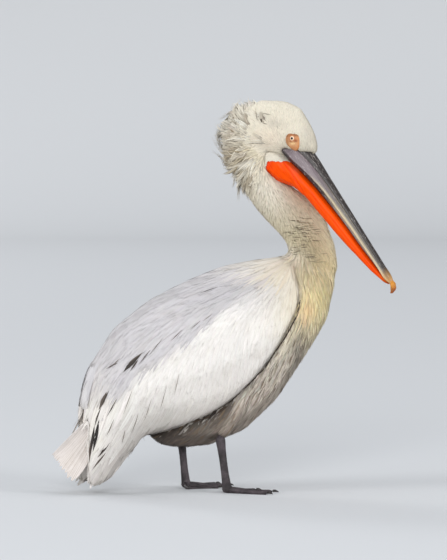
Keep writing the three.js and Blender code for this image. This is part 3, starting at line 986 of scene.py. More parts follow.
    def scatter(self, rng: Chance, spacing: float, chosen: Array) -> Array:
        """Evenly spaced random roots on the chosen faces.

        Args:
            rng: the source of chance.
            spacing: the least distance between two roots.
            chosen: a mask over the skin's faces.

        Returns:
            Rows of root places.
        """
        ids = np.nonzero(chosen)[0]
        a, b, c = (self.places[self.faces[ids, i]] for i in range(3))
        area = np.linalg.norm(np.cross(b - a, c - a), axis=1) / 2
        count = int(area.sum() / spacing**2 * 5)
        pick = rng.choice(len(ids), count, p=area / area.sum())
        u, v = rng.random((2, count, 1))
        fold = u + v > 1
        u, v = np.where(fold, 1 - u, u), np.where(fold, 1 - v, v)
        points = a[pick] + (b[pick] - a[pick]) * u + (c[pick] - a[pick]) * v
        tree = KDTree(count)
        for i, point in enumerate(points.tolist()):
            tree.insert(point, i)
        tree.balance()
        free = np.ones(count, dtype=bool)
        kept = []
        for i in range(count):
            if free[i]:
                kept.append(i)
                for _, j, _ in tree.find_range(points[i], spacing):
                    free[j] = False
        return points[kept]


# ---- feathers


@dataclass(frozen=True)
class Vane:
    """The form of one tuft or feather: a thin closed blade, pointed at both ends, along its shaft."""

    sides: int = 4  # corners of its section
    rings: int = 3  # sections between the root and the tip
    widest: float = 0.5  # where it is widest, as a share of its length
    point: float = 0.8  # how slowly it narrows to the tip: small is blunt
    stem: float = 0.5  # its width at the root, as a share of the full width

    def levels(self) -> Array:
        """The shares of the length at which the sections lie, with the root and the tip."""
        inner = (np.arange(self.rings) + 0.6) / self.rings
        return np.concatenate([[0.0], inner**0.95 * 0.97, [1.0]])

    def width(self, along: Array) -> Array:
        """The blade's half width along its length.

        Args:
            along: shares of the length.

        Returns:
            The half width at each, at most 1.
        """
        rise = self.stem + (1 - self.stem) * np.clip(along / self.widest, 0, 1) ** 0.8
        fall = grade(along, 1, self.widest - 1) ** self.point
        return np.where(along < self.widest, rise, fall)

    def template(self) -> tuple[Array, list[list[int]]]:
        """The blade itself, cut from a prism.

        Returns:
            Its corners as rows of level, across and height, and its faces.
        """
        shape = bmesh.new()
        bmesh.ops.create_cone(
            shape, cap_ends=True, cap_tris=True, segments=self.sides, radius1=1.0, radius2=1.0, depth=1.0
        )
        count = self.rings + 1
        for level in range(1, count):
            cut = Vector((0, 0, level / count - 0.5))
            parts = shape.verts[:] + shape.edges[:] + shape.faces[:]
            bmesh.ops.bisect_plane(shape, geom=parts, plane_co=cut, plane_no=(0, 0, 1))
        for end in (-0.5, 0.5):
            rim = [v for v in shape.verts if abs(v.co.z - end) < 1e-4]
            bmesh.ops.pointmerge(shape, verts=rim, merge_co=Vector((0, 0, end)))
        shape.verts.index_update()
        rows = np.array([[round((v.co.z + 0.5) * count), v.co.x, v.co.y] for v in shape.verts])
        faces = [[v.index for v in f.verts] for f in shape.faces]
        shape.free()
        return rows, faces


@dataclass
class Tufts:
    """Many feathers of one form, gathered into one mesh."""

    name: str
    vane: Vane
    skin: Skin
    closely: bool = False  # whether every corner follows the skin, for broad feathers

    def __post_init__(self) -> None:
        """Reads the form once."""
        self.rows, self.faces = self.vane.template()
        self.levels = self.vane.levels()
        self.parts: list[dict[str, Array]] = []

    def dress(
        self,
        shafts: Shafts,
        widths: Array,
        lifts: tuple[Each, Each],
        thick: float,
        tones: Array,
        camber: float = 0.0,
    ) -> None:
        """Gives each shaft its blade.

        Args:
            shafts: the shafts' places, normals and headings at each level.
            widths: each feather's half width.
            lifts: heights over the skin at the root and at the tip.
            thick: half thickness of the shaft.
            tones: rows of linear colours.
            camber: how far the edges fall below the shaft, as a share of the half width.
        """
        centres, normals, headings = shafts
        count = len(centres)
        sides = np.cross(normals, headings)
        level = self.rows[:, 0].astype(int)
        along = self.levels[level]
        across, height = self.rows[:, 1], self.rows[:, 2]
        half = self.vane.width(along) * np.where((along > 0) & (along < 1), 1.0, 0.0)
        low, high = (np.broadcast_to(np.asarray(v, dtype=float), (count,)) for v in lifts)
        lift = low[:, None] + (high - low)[:, None] * along[None, :] ** 1.1
        offset = (half * across)[None, :] * widths[:, None]
        places = centres[:, level] + sides[:, level] * offset[:, :, None]
        up = normals[:, level]
        if self.closely:
            flat_places, flat_normals, _, _ = self.skin.settle(places.reshape(-1, 3))
            places, up = flat_places.reshape(places.shape), flat_normals.reshape(places.shape)
        fall = camber * np.abs(across * half)[None, :] ** 2 * widths[:, None]
        rise = lift + (height * thick * np.sqrt(half))[None, :] - fall
        places = places + up * rise[:, :, None]
        root_map = self.skin.skin_map[self.skin.settle(centres[:, 0])[3]]
        seeds = np.arange(count) * SEED_STEP % 100
        patch = np.stack([across * 0.5, along - 0.5], axis=1) * 0.003
        self.parts.append(
            {
                "places": places.reshape(-1, 3),
                "tone": np.repeat(np.clip(tones, 0, 1), len(self.rows), axis=0),
                "seed": np.repeat(seeds, len(self.rows)),
                "patch": (root_map[:, None] + patch[None]).reshape(-1, 2),
                "vane": np.tile(np.stack([across * 0.5 + 0.5, along], axis=1), (count, 1)),
            }
        )

    def sound(self, shafts: Shafts) -> Array:
        """Which shafts neither fold back on themselves nor reach the floor.

        Args:
            shafts: the shafts.

        Returns:
            True for each that may stay.
        """
        steps = unit(np.diff(shafts[0], axis=1))
        folds = np.sum(steps[:, 1:] * steps[:, :-1], axis=2).min(axis=1)
        return (folds > 0.6) & (shafts[0][:, :, 2].min(axis=1) > 0.6 * FLOOR_ROOM)

    def trimmed(
        self, roots: Array, lengths: Array, turn: Array, bend: Array, overhang: Array
    ) -> tuple[Shafts, Array]:
        """Shafts that end a little past the edges of the body, and short of bare skin.

        Args:
            roots: rows of root places.
            lengths: the feathers' full lengths.
            turn: how far each is turned away from the lie, in radians.
            bend: how far each turns further along its length, in radians.
            overhang: how far each may run on past an edge.

        Returns:
            The shafts, and what is left of each length as a share.
        """
        full = self.march(roots, lengths, turn, bend)
        centres = full[0]
        kept = lengths
        if lengths.max() > 30 * MM:
            off = depths(self.skin.tree, centres.reshape(-1, 3)).reshape(centres.shape[:2])
            past = off > 1.5 * MM
            out, level = past.any(axis=1), np.argmax(past, axis=1)
            begin = np.where(out, self.levels[level], 1.0)
            before = np.where(out, self.levels[np.maximum(level - 1, 0)], 1.0)
            kept = np.minimum(lengths, 0.5 * (begin + before) * lengths + overhang)
            low = centres[:, :, 2] < FLOOR_ROOM
            above = self.levels[np.argmax(low, axis=1) - 1] * lengths
            kept = np.where(low.any(axis=1), np.minimum(kept, above), kept)
        root_room, tip_room = self.skin.clearance(roots), self.skin.clearance(centres[:, -1])
        towards = (root_room < lengths) & (tip_room < 1.3 * lengths) & (tip_room < root_room)
        kept = np.where(towards, np.minimum(kept, root_room + 1.2 * MM), kept)
        kept = np.maximum(kept, 3 * MM)
        cut = kept < lengths - 0.01 * MM
        if cut.any():
            shorter = self.march(roots[cut], kept[cut], turn[cut], bend[cut])
            for whole, part in zip(full, shorter):
                whole[cut] = part
        return full, kept / lengths

    def march(
        self, roots: Array, lengths: Array, turn: Each, bend: Each, lines: Array | None = None
    ) -> Shafts:
        """Shafts over the skin from their roots, along the lie of the coat.

        Args:
            roots: rows of root places.
            lengths: each feather's length.
            turn: how far each is turned away from the lie, in radians.
            bend: how far each turns further along its length, in radians.
            lines: headings to follow instead of the skin's lie, one row for each feather.

        Returns:
            The shafts' places, normals and headings at each level.
        """
        count = len(roots)
        places, normals, lie, _ = self.skin.settle(roots)
        turns = np.broadcast_to(np.asarray(turn, dtype=float), (count,))
        bends = np.broadcast_to(np.asarray(bend, dtype=float), (count,))
        shape = (count, len(self.levels), 3)
        centres, ups, ways = np.empty(shape), np.empty(shape), np.empty(shape)
        for k, level in enumerate(self.levels):
            if k:
                step = lengths * (level - self.levels[k - 1])
                ahead = places + ways[:, k - 1] * step[:, None]
                near, up, lie, _ = self.skin.settle(ahead)
                free = np.sum(up * normals, axis=1) < STIFFNESS
                places = np.where(free[:, None], ahead, near)
                normals = np.where(free[:, None], normals, up)
                lie = np.where(free[:, None], ways[:, k - 1], lie)
            way = lie if lines is None else flat(lines, normals)
            if k:
                way = flat(way * 0.6 + unit(ways[:, k - 1]) * 0.4, normals) if lines is None else way
            angle = (turns if k == 0 or lines is not None else 0.0) + bends * level
            angle = np.broadcast_to(angle, (count,))[:, None]
            way = way * np.cos(angle) + np.cross(normals, way) * np.sin(angle)
            centres[:, k], ups[:, k], ways[:, k] = places, normals, way
        return centres, ups, ways

    def build(self, material: Material, slot: str) -> Object:
        """Joins what has been laid into one piece.

        Args:
            material: the feathers' finish.
            slot: a material slot's name; not used.

        Returns:
            The piece, riding on the body.
        """
        joined = {key: np.concatenate([part[key] for part in self.parts]) for key in self.parts[0]}
        count = len(joined["places"]) // len(self.rows)
        totals = np.array([len(f) for f in self.faces])
        corners = np.concatenate([np.array(f) for f in self.faces])
        loops = (corners[None, :] + (np.arange(count) * len(self.rows))[:, None]).ravel()
        mesh = bpy.data.meshes.new(self.name)
        mesh.vertices.add(len(joined["places"]))
        mesh.vertices.foreach_set("co", joined["places"].ravel())
        mesh.loops.add(len(loops))
        mesh.loops.foreach_set("vertex_index", loops)
        mesh.polygons.add(count * len(totals))
        starts = np.concatenate([[0], np.cumsum(np.tile(totals, count))[:-1]])
        mesh.polygons.foreach_set("loop_start", starts)
        mesh.polygons.foreach_set("use_smooth", np.ones(count * len(totals), dtype=bool))
        mesh.update(calc_edges=True)
        for name, key in (("OFBake", "patch"), ("Vane", "vane")):
            mesh.uv_layers.new(name=name).uv.foreach_set("vector", joined[key][loops].ravel())
        set_layer(mesh, "tone", joined["tone"])
        mesh.attributes.new("seed", "FLOAT", "POINT").data.foreach_set("value", joined["seed"])
        self._part_sides(mesh, count)
        piece = add_object(self.name, mesh, material)
        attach(piece, ROOT)
        triangles = count * sum(t - 2 for t in totals)
        log.info("%s: %d feathers, %d triangles", self.name, count, triangles)
        return piece

    def _part_sides(self, mesh: Mesh, count: int) -> None:
        """Marks every blade's rim sharp, so that its upper side shades as one flat web.

        Args:
            mesh: the joined mesh.
            count: how many blades it has.
        """
        ends = np.empty(len(mesh.edges) * 2, dtype=np.int64)
        mesh.edges.foreach_get("vertices", ends)
        rim = np.tile(np.abs(self.rows[:, 2]) < 0.01, count)
        sharp = rim[ends].reshape(-1, 2).all(axis=1)
        mesh.attributes.new("sharp_edge", "BOOLEAN", "EDGE").data.foreach_set("value", sharp)


@dataclass
class CoatRegion:
    """One even stretch of coat: its tracts, and the size and looseness of its feathers."""

    name: str
    tracts: tuple[Tract, ...]
    spacing: float  # mm between roots
    length: tuple[float, float]  # shortest and longest, mm
    half_width: tuple[float, float]  # mm
    lift: tuple[float, float]  # height over the skin at the root and at the tip, mm
    thick: float  # half thickness, mm
    vane: Vane
    finish: Plumage
    slot: str
    loose: float = 0.12  # spread of the headings, radians
    ruffle: float = 0.15  # spread of the tips' height, as a share of it
    tint: float = 0.05  # spread of the lightness
    closely: bool = False
    camber: float = 0.0
    fit: Callable[[Array], Array] | None = None  # scale of the feathers by place
    overhang: tuple[float, float] = (3.0, 9.0)  # how far tips run on past an edge of the body, mm
    fleck: tuple[str, float] = ("#8A7864", 0.0)  # colour of odd darker feathers, and their share
    least: float = 0.0  # feathers cut shorter than this share are left out

    def build(self, skin: Skin, rng: Chance) -> Object:
        """Scatters, lays and joins the feathers.

        Args:
            skin: what they stand on.
            rng: the source of chance.

        Returns:
            The finished piece.
        """
        roots = skin.scatter(rng, self.spacing * MM, skin.faces_on(*self.tracts))
        roots = roots[skin.clearance(roots) > 1.2 * MM]
        count = len(roots)
        fit = self.fit(roots) if self.fit else np.ones(count)
        tones = skin.read(skin.tone, roots) * rng.normal(1.0, self.tint, (count, 1))
        tones = tones * rng.normal(1.0, self.tint * 0.2, (count, 3))
        odd = (rng.random((count, 1)) < self.fleck[1]) * rng.uniform(0.3, 0.9, (count, 1))
        odd *= 1 - 0.75 * grade(roots[:, 2:], 0.40, 0.04)  # the breast's patch is clearer
        tones = tint(tones, self.fleck[0], odd)
        tufts = Tufts(self.name, self.vane, skin, self.closely)
        turn, bend = rng.normal(0, self.loose, (2, count))
        lengths = rng.uniform(*self.length, count) * MM * fit
        shafts, ratio = tufts.trimmed(roots, lengths, turn, bend, rng.uniform(*self.overhang, count) * MM)
        whole = (ratio >= self.least) & tufts.sound(shafts)
        ratio, tones, fit = ratio[whole], tones[whole], fit[whole]
        count = len(tones)
        tufts.dress(
            tuple(part[whole] for part in shafts),
            rng.uniform(*self.half_width, count) * MM * fit * ratio**0.5,
            (self.lift[0] * MM, self.lift[1] * MM * rng.normal(1.0, self.ruffle, count) * fit * ratio),
            self.thick * MM,
            tones,
            self.camber,
        )
        return tufts.build(self.finish.build(), self.slot)


@dataclass
class Tail:
    """The tail: broad overlapping quills in a roof-shaped fan, with coverts over and under their roots."""

    skin: Skin
    root: tuple[float, float, float] = (-246.7, 23.5, 246.0)  # middle of the quills' roots, mm
    half: float = 26.0
    length: float = 224.0
    fan: float = math.radians(10)
    pitch: float = math.radians(44)
    roof: float = math.radians(14)
    quills: int = 22
    held: float = 20.0  # how much of the left half's length is drawn in, mm
    coverts: int = 240  # on each side of the fan

    def sheet(self, side: Array, share: Array) -> Array:
        """Places on the fan.

        Args:
            side: from -1 at its right edge to 1 at its left.
            share: from 0 at the roots to 1 at the tips.

        Returns:
            Rows of places.
        """
        fan, pitch = self.fan * side, self.pitch + self.roof * side**2
        reach = (self.length + 18 * side**2 - self.held * np.maximum(side, 0)) * share
        x = self.root[0] - reach * np.cos(pitch) * np.cos(fan)
        y = self.root[1] + self.half * side + reach * np.sin(fan)
        z = self.root[2] - 12 * side**2 - reach * np.sin(pitch) * np.cos(fan)
        return np.stack([x, y, z], axis=-1) * MM

    def _shafts(self, side: Array, start: Array, end: Array, levels: Array, rise: Array) -> Shafts:
        """Shafts over the fan.

        Args:
            side: where each lies across the fan.
            start: the share at which it begins.
            end: the share at which it ends.
            levels: shares of its length.
            rise: its height over the fan, mm.

        Returns:
            The shafts' places, normals and headings.
        """
        share = start[:, None] + (end - start)[:, None] * levels[None]
        sides = np.broadcast_to(side[:, None], share.shape)
        across = unit(self.sheet(sides + 0.05, share) - self.sheet(sides - 0.05, share))
        ahead = unit(self.sheet(sides, share + 0.02) - self.sheet(sides, share - 0.02))
        normals = unit(np.cross(across, ahead))
        normals = normals * np.sign(normals[:, :, 2:3])
        return self.sheet(sides, share) + normals * rise[:, None, None] * MM, normals, ahead

    def build(self, rng: Chance) -> None:
        """Builds the quills, then the coverts above and below.

        Args:
            rng: the source of chance.
        """
        quill = Plumage("tail_quills", 0.5, 0.4, 0.2, "#A89E90")
        side = np.linspace(-1, 1, self.quills)
        tufts = Tufts("tail_quills", Vane(8, 12, 0.8, 0.35, 0.45), self.skin)
        rise = 2.4 * (1 - np.abs(side)) - 0.6
        ends = np.full(self.quills, 1.0) - rng.uniform(0, 0.02, self.quills)
        shafts = self._shafts(side, np.zeros(self.quills), ends, tufts.levels, rise)
        tones = rgb("#E6DFDB") * rng.normal(1, 0.015, (self.quills, 1))
        tufts.dress(shafts, np.full(self.quills, 13.5 * MM), (0.0, 0.0), 0.5 * MM, tones, 0.1)
        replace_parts(tufts.build(quill.build(), "flight_feathers"), "tail")
        self._coverts("upper_tail_coverts", rng, 1.0, "#EFEAE6")
        self._coverts("under_tail_coverts", rng, -1.0, "#DDD3C6")

    def _coverts(self, name: str, rng: Chance, over: float, colour: str) -> None:
        """Short soft feathers over the quills' roots, on one side of the fan.

        Args:
            name: the piece's name.
            rng: the source of chance.
            over: 1 above the fan and -1 below it.
            colour: their tone.
        """
        count = self.coverts
        side = rng.uniform(-1.1, 1.1, count)
        start = rng.uniform(-0.12, 0.3, count)
        end = start + rng.uniform(0.22, 0.32, count)
        tufts = Tufts(name, Vane(4, 4, 0.5, 0.6), self.skin)
        rise = over * (3.2 + 6 * (0.3 - start)) * (1 - 0.3 * side**2)
        shafts = self._shafts(side, start, end, tufts.levels, rise)
        sink = (over * 2.5 * tufts.levels)[None, :, None] * MM
        shafts = (shafts[0] - shafts[1] * sink, shafts[1] * over, shafts[2])
        tones = rgb(colour) * rng.normal(1, 0.03, (count, 1))
        tufts.dress(shafts, rng.uniform(4.5, 6.5, count) * MM, (0.2 * MM, 0.8 * MM), 0.2 * MM, tones, 0.05)
        tufts.build(Plumage("tail_coverts", 0.15, 0.3).build(), "body_feathers")


@dataclass
class NeckFolds:
    """The wavy dark lines of painted shadow in the gaps where the neck's coat is ruffled into folds."""

    skin: Skin
    tier: float = 8.5  # mm between folds
    stretch: tuple[float, float] = (0.525, 0.665)  # the heights between which they lie

    def build(self, rng: Chance) -> None:
        """Lays short dark strands across the neck as painted shadow.

        Args:
            rng: the source of chance.
        """
        heights = self.skin.places[self.skin.faces].mean(axis=1)[:, 2]
        low, high = self.stretch
        chosen = self.skin.faces_on(Tract.NECK) & (heights > low) & (heights < high)
        roots = self.skin.scatter(rng, 3.0 * MM, chosen)
        wave = 2.4 * np.sin(roots[:, 0] * 160 + 1) + 1.6 * np.sin(roots[:, 1] * 210)
        phase = ((roots[:, 2] / MM + wave) / self.tier) % 1.0
        rows = np.abs(roots[:, 2:] - np.array([[0.637, 0.562]])).min(axis=1)
        away = np.hypot((roots[:, 0] - 0.210) / 0.025, rows / 0.032)
        roots = roots[(phase < 0.34) & (away + rng.normal(0, 0.3, len(roots)) < 1.05)]
        count = len(roots)
        tufts = Tufts("neck_fold_shadows", Vane(4, 5, 0.5, 0.8, 0.3), self.skin)
        aside = np.cross(self.skin.settle(roots)[1], np.array([[0.0, 0.0, 1.0]]))
        aside = aside * np.where(rng.random((count, 1)) < 0.5, 1, -1)
        lines = unit(aside + rng.normal(0, 0.10, (count, 3)))
        # painted shadow: dark brown to tan strands stand for the shade between the ruffled tiers
        tones = tint(np.tile(rgb("#574E3F"), (count, 1)), "#B0A58C", rng.uniform(0, 1, count))
        shafts = tufts.march(roots, rng.uniform(14, 28, count) * MM, 0.0, rng.normal(0, 0.2, count), lines)
        tufts.dress(shafts, rng.uniform(0.5, 1.0, count) * MM, (2.3 * MM, 2.8 * MM), 0.2 * MM, tones)
        tufts.build(Plumage("neck_fold_shadows", 0.0, 0.2, 0.0).build(), "body_feathers")


@dataclass
class Tertials:
    """The innermost long feathers of both wings, which meet over the rump like a curtain."""

    skin: Skin
    middle: float = 0.0235  # y of the bird's middle
    half: float = 0.040
    # by tier: heights of the roots and of the tips in metres, and how proud the feathers stand in mm
    tiers: Table = (
        (0.35, 0.26, 3.0), (0.325, 0.215, 2.2), (0.295, 0.175, 1.4), (0.26, 0.14, 0.6),
    )

    def build(self, rng: Chance) -> None:
        """Lays them in tiers from the mantle down to the tail.

        Args:
            rng: the source of chance.
        """
        tufts = Tufts("tertial_feathers", Vane(8, 8, 0.65, 0.5, 0.5), self.skin)
        heights = np.linspace(0.39, 0.12, 28)
        rear = []
        for z in heights:
            starts = [Vector((-0.7, y, z)) for y in (-0.016, 0.063)]
            hits = [self.skin.tree.ray_cast(start, Vector((1, 0, 0)))[0] for start in starts]
            rear.append(float(np.mean([h.x for h in hits if h])) if any(hits) else rear[-1])
        rear = np.minimum(np.array(rear), np.linspace(rear[0], rear[0] - 0.2, len(rear)) + 0.2)
        rear = np.convolve(np.pad(rear, 2, mode="edge"), np.ones(5) / 5, mode="valid")
        for start, end, proud in self.tiers:
            side = np.linspace(-1, 1, 17) + rng.normal(0, 0.02, 17)
            count = len(side)
            low = end - 0.028 * side**2 + 0.016 * rng.normal(0, 1, count)
            z = start + (low - start)[:, None] * tufts.levels[None]
            x = np.interp(-z, -heights, rear)
            y = self.middle + self.half * side[:, None] * (1 + 0.25 * tufts.levels[None])
            bulge = (0.004 * (1 - side**2))[:, None]
            rise = (-4.0 + (4.5 + proud) * np.minimum(tufts.levels * 3, 1.0))[None] * MM
            centres = np.stack([x - bulge - rise, y, z], axis=2)
            ahead = unit(np.gradient(centres, axis=1))
            normals = unit(np.cross(np.array([0.0, 1.0, 0.0]), ahead))
            normals *= np.where(normals[:, :, :1] > 0, -1, 1)
            normals = unit(normals + np.array([0.0, 0.45, 0.0]) * side[:, None, None])
            share = (start - 0.26) / 0.09
            tones = tint(rgb("#F4F1EE"), "#D6D5D9", share) * rng.normal(1, 0.03, (count, 1))
            shafts = (centres, normals, ahead)
            tufts.dress(shafts, np.full(count, 6.5 * MM), (0.0, 1.0 * MM), 0.3 * MM, tones, 0.05)
        tufts.build(Plumage("tertials", 0.3, 0.25, 0.1).build(), "flight_feathers")


@dataclass
class Crest:
    """The shaggy locks of the hind neck and crown: long curled strands with loose points."""

    skin: Skin
    spacing: float = 5.0
    lowest: float = 0.742  # height of the lowest locks' roots
    strands: int = 9  # in one clump

    def build(self, rng: Chance) -> None:
        """Lays the locks over the down.

        Args:
            rng: the source of chance.
        """
        middles = self.skin.places[self.skin.faces].mean(axis=1)
        border = 0.088 + 0.016 * np.sin(middles[:, 2] * 120) + rng.normal(0, 0.006, len(middles))
        feathered = self.skin.faces_on(Tract.CREST, Tract.HEAD, Tract.NECK)
        chosen = feathered & (middles[:, 0] < border) & (middles[:, 2] > self.lowest)
        roots = self.skin.scatter(rng, self.spacing * MM, chosen)
        count = len(roots)
        tufts = Tufts("crest_locks", Vane(4, 8, 0.3, 1.1, 0.6), self.skin)
        turn, bend = rng.normal(0, 0.4, count), rng.normal(0, 0.8, count)
        lengths = rng.uniform(40, 78, count) * MM * (0.4 + 0.6 * self._calm(roots))
        shafts, ratio = tufts.trimmed(roots, lengths, turn, bend, rng.uniform(14, 42, count) * MM)
        base = self.skin.read(self.skin.tone, roots)
        mix = rng.random(count)
        tones = tint(tint(base, "#8A7250", (mix < 0.16) * 0.55), "#F6F1E4", (mix > 0.6) * 0.6)
        ratio = ratio * self._calm(roots)
        lift = rng.uniform(3, 30, count) * rng.random(count) ** 0.5
        widths = rng.uniform(1.2, 2.6, count) * MM * ratio**0.5
        tufts.dress(shafts, widths, (1.0 * MM, lift * MM * ratio), 0.3 * MM, tones)
        # the locks' dark roots: grey down and painted shade for the depth between the locks
        locks = Plumage("crest_locks", 0.1, 0.45, 0.55, root_shade="#7A7062")
        tufts.build(locks.build(), "crest_feathers")
        self._spikes(rng, chosen, locks)

    def _calm(self, places: Array) -> Array:
        """How freely locks stand up: least towards the face."""
        return np.clip((0.095 - places[:, 0]) / 0.045, 0.15, 1.0)

    def _spikes(self, rng: Chance, chosen: Array, finish: Plumage) -> None:
        """Clumps of strands that stand away from the head and share one point.

        Args:
            rng: the source of chance.
            chosen: a mask over the skin's faces.
            finish: what they are made of.
        """
        roots = self.skin.scatter(rng, 10 * MM, chosen)
        count = len(roots) * self.strands
        tufts = Tufts("crest_spikes", Vane(4, 6, 0.25, 1.2, 0.7), self.skin)
        spread = rng.normal(0, 3.2 * MM, (count, 3))
        own = np.repeat(np.arange(len(roots)), self.strands)
        short = np.clip((roots[:, 2] - 0.715) / 0.07, 0.4, 1.0)[own]
        lengths = (rng.uniform(50, 90, len(roots))[own] + rng.normal(0, 7, count)) * MM * short
        turn = rng.normal(0, 0.35, len(roots))[own] - rng.normal(0, 0.08, count)
        bend = rng.normal(0, 0.6, len(roots))[own] + rng.normal(0, 0.12, count)
        over = rng.uniform(22, 50, len(roots))[own] * MM
        lengths = lengths * (0.4 + 0.6 * self._calm(roots)[own])
        places = self.skin.settle(roots[own] + spread)[0]
        shafts, ratio = tufts.trimmed(places, lengths, turn, bend, over)
        middle = shafts[0].reshape(len(roots), self.strands, -1, 3).mean(axis=1)[own]
        gathered = middle + (shafts[0] - middle) * (1 - 0.85 * tufts.levels)[None, :, None]
        shafts = (gathered, shafts[1], shafts[2])
        lift = (rng.uniform(8, 44, len(roots))[own] + rng.normal(0, 2, count)) * MM
        lift = lift * ratio * self._calm(places)
        base = self.skin.read(self.skin.tone, places)
        tones = tint(base, "#F2EEE2", rng.uniform(0.1, 0.9, len(roots))[own])
        tones = tones * rng.normal(1, 0.14, (count, 1))
        tones = tint(tones, "#8A7250", ((rng.random(len(roots)) < 0.22) * 0.45)[own])
        tufts.dress(shafts, rng.uniform(1.2, 2.1, count) * MM, (1.0 * MM, lift), 0.25 * MM, tones)
        tufts.build(finish.build(), "crest_feathers")


# ---- bare parts


def curve(table: Sequence[Sequence[float]], at: Array, column: int) -> Array:
    """A smooth line through one column of a table whose first column is its position.

    Args:
        table: rows of a position and its values.
        at: the positions to read.
        column: which value.

    Returns:
        The values.
    """
    rows = np.array(table, dtype=float)
    x, y = rows[:, 0], rows[:, column]
    slopes = np.gradient(y, x)
    cell = np.clip(np.searchsorted(x, at, side="right") - 1, 0, len(x) - 2)
    width = x[cell + 1] - x[cell]
    t = grade(at, x[cell], width)
    start, end = y[cell], y[cell + 1]
    rise, fall = slopes[cell] * width, slopes[cell + 1] * width
    second, third = 3 * (end - start) - 2 * rise - fall, 2 * (start - end) + rise + fall
    return start + t * rise + t**2 * second + t**3 * third


def loft(rings: Sequence[Sequence[Vector]]) -> BMesh:
    """A closed shape whose sections are the given rings of places.

    Args:
        rings: the sections, each with the same number of places.

    Returns:
        The shape, closed to a point at both ends.
    """
    shape = bmesh.new()
    made = bmesh.ops.create_circle(shape, cap_ends=False, segments=len(rings[0]), radius=1.0)
    ring = made["verts"]
    edges = shape.edges[:]
    for vertex, place in zip(ring, rings[0]):
        vertex.co = place
    first_edges = edges[:]
    for places in rings[1:]:
        grown = bmesh.ops.extrude_edge_only(shape, edges=edges)["geom"]
        following = {}
        for edge in [g for g in grown if isinstance(g, BMFace)]:
            for side in edge.edges:
                a, b = side.verts
                if a in ring and b not in ring:
                    following[a] = b
                if b in ring and a not in ring:
                    following[b] = a
        edges = [g for g in grown if isinstance(g, BMEdge) and not any(v in ring for v in g.verts)]
        ring = [following[v] for v in ring]
        for vertex, place in zip(ring, places):
            vertex.co = place
    for rim in (first_edges, edges):
        bmesh.ops.edgeloop_fill(shape, edges=rim)
    bmesh.ops.recalc_face_normals(shape, faces=shape.faces)
    return shape


def relaxed_copy(
    name: str, nodes: Sequence[Object], voxel: float, times: int, swell: float = 0.5 * MM
) -> Mesh:
    """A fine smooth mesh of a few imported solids, which keeps their size.

    Args:
        name: the mesh's name.
        nodes: the solids.
        voxel: edge length of the fine mesh.
        times: relaxing steps.
        swell: how far the solids grow first to meet, which is taken off again.

    Returns:
        The mesh.
    """
    mesh = fused(name, nodes, voxel, swell)
    largest_body(mesh)
    web = Web(mesh)
    places = vertices_of(mesh)
    tree = search_tree(outline_of(node) for node in nodes)
    move(mesh, web.restored(tree, web.smooth(places, times), 6 * MM, max(times // 3, 3)))
    return mesh


def set_layer(mesh: Mesh, name: str, values: Array) -> None:
    """Stores rows of three values on a mesh's vertices, for its material to read.

    Args:
        mesh: the mesh.
        name: the layer's name.
        values: a row for each vertex.
    """
    rows = np.ones((len(values), 4))
    rows[:, :3] = values
    mesh.color_attributes.new(name, "FLOAT_COLOR", "POINT").data.foreach_set("color", rows.ravel())


def displace(mesh: Mesh, heights: Array) -> None:
    """Moves a mesh's vertices along their normals."""
    places = vertices_of(mesh)
    move(mesh, places + Web(mesh).normals(places) * heights[:, None])


def finish_piece(piece: Object, slot: str, *nodes: str) -> Object:
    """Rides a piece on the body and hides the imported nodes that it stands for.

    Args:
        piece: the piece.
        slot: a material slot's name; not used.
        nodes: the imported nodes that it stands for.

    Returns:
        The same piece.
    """
    piece.data.polygons.foreach_set("use_smooth", [True] * len(piece.data.polygons))
    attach(piece, ROOT)
    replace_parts(piece, *nodes)
    log.info("%s: %d faces", piece.name, len(piece.data.polygons))
    return piece


def subdivide(piece: Object, levels: int) -> None:
    """Adds a Subdivision Surface modifier.

    Args:
        piece: the piece.
        levels: the level for both view and render.
    """
    modifier = piece.modifiers.new("Subdivision", "SUBSURF")
    modifier.levels = levels
    modifier.render_levels = levels


@dataclass(frozen=True)
class BillHorn:
    """Bill keratin: satin horn finely ridged along its length, dark above and cream at the edge."""

    name: str = "bill_horn"
    roughness: float = 0.42

    def build(self) -> Material:
        """Builds the finish on the bill's own colour layer and its s, n, y places.

        Returns:
            The material.
        """
        material, tree = new_material(self.name)
        tone = add(tree, "Attribute", {"attribute_name": "tone"}).outputs["Color"]
        place = add(tree, "Attribute", {"attribute_name": "bill_place"}).outputs["Color"]
        ridges = add(tree, "Mapping", {"Scale": (6.0, 420.0, 420.0), "Vector": place}).outputs[0]
        fine = {"Scale": 1.0, "Detail": 4.0, "Roughness": 0.6, "Vector": ridges}
        grain = add(tree, "TexNoise", fine).outputs["Fac"]
        flecks = add(tree, "Mapping", {"Scale": (70.0, 500.0, 500.0), "Vector": place}).outputs[0]
        fleck = add(tree, "TexNoise", {"Scale": 1.0, "Detail": 2.0, "Vector": flecks}).outputs["Fac"]
        dark = add(tree, "MapRange", {**SMOOTH, 0: grain, 1: 0.45, 2: 0.7, 4: 0.45}).outputs[0]
        shade = add(tree, "Mix", {**STAIN, 0: dark, 6: tone, 7: linear("#6E676C")}).outputs[2]
        pale = add(tree, "MapRange", {**SMOOTH, 0: fleck, 1: 0.58, 2: 0.70, 4: 0.5}).outputs[0]
        shade = add(tree, "Mix", {**LAY, 0: pale, 6: shade, 7: linear("#C9C2BC")}).outputs[2]
        surfaced(tree, shade, self.roughness, 0.45, (grain, 0.5, 0.35 * MM))
        return material


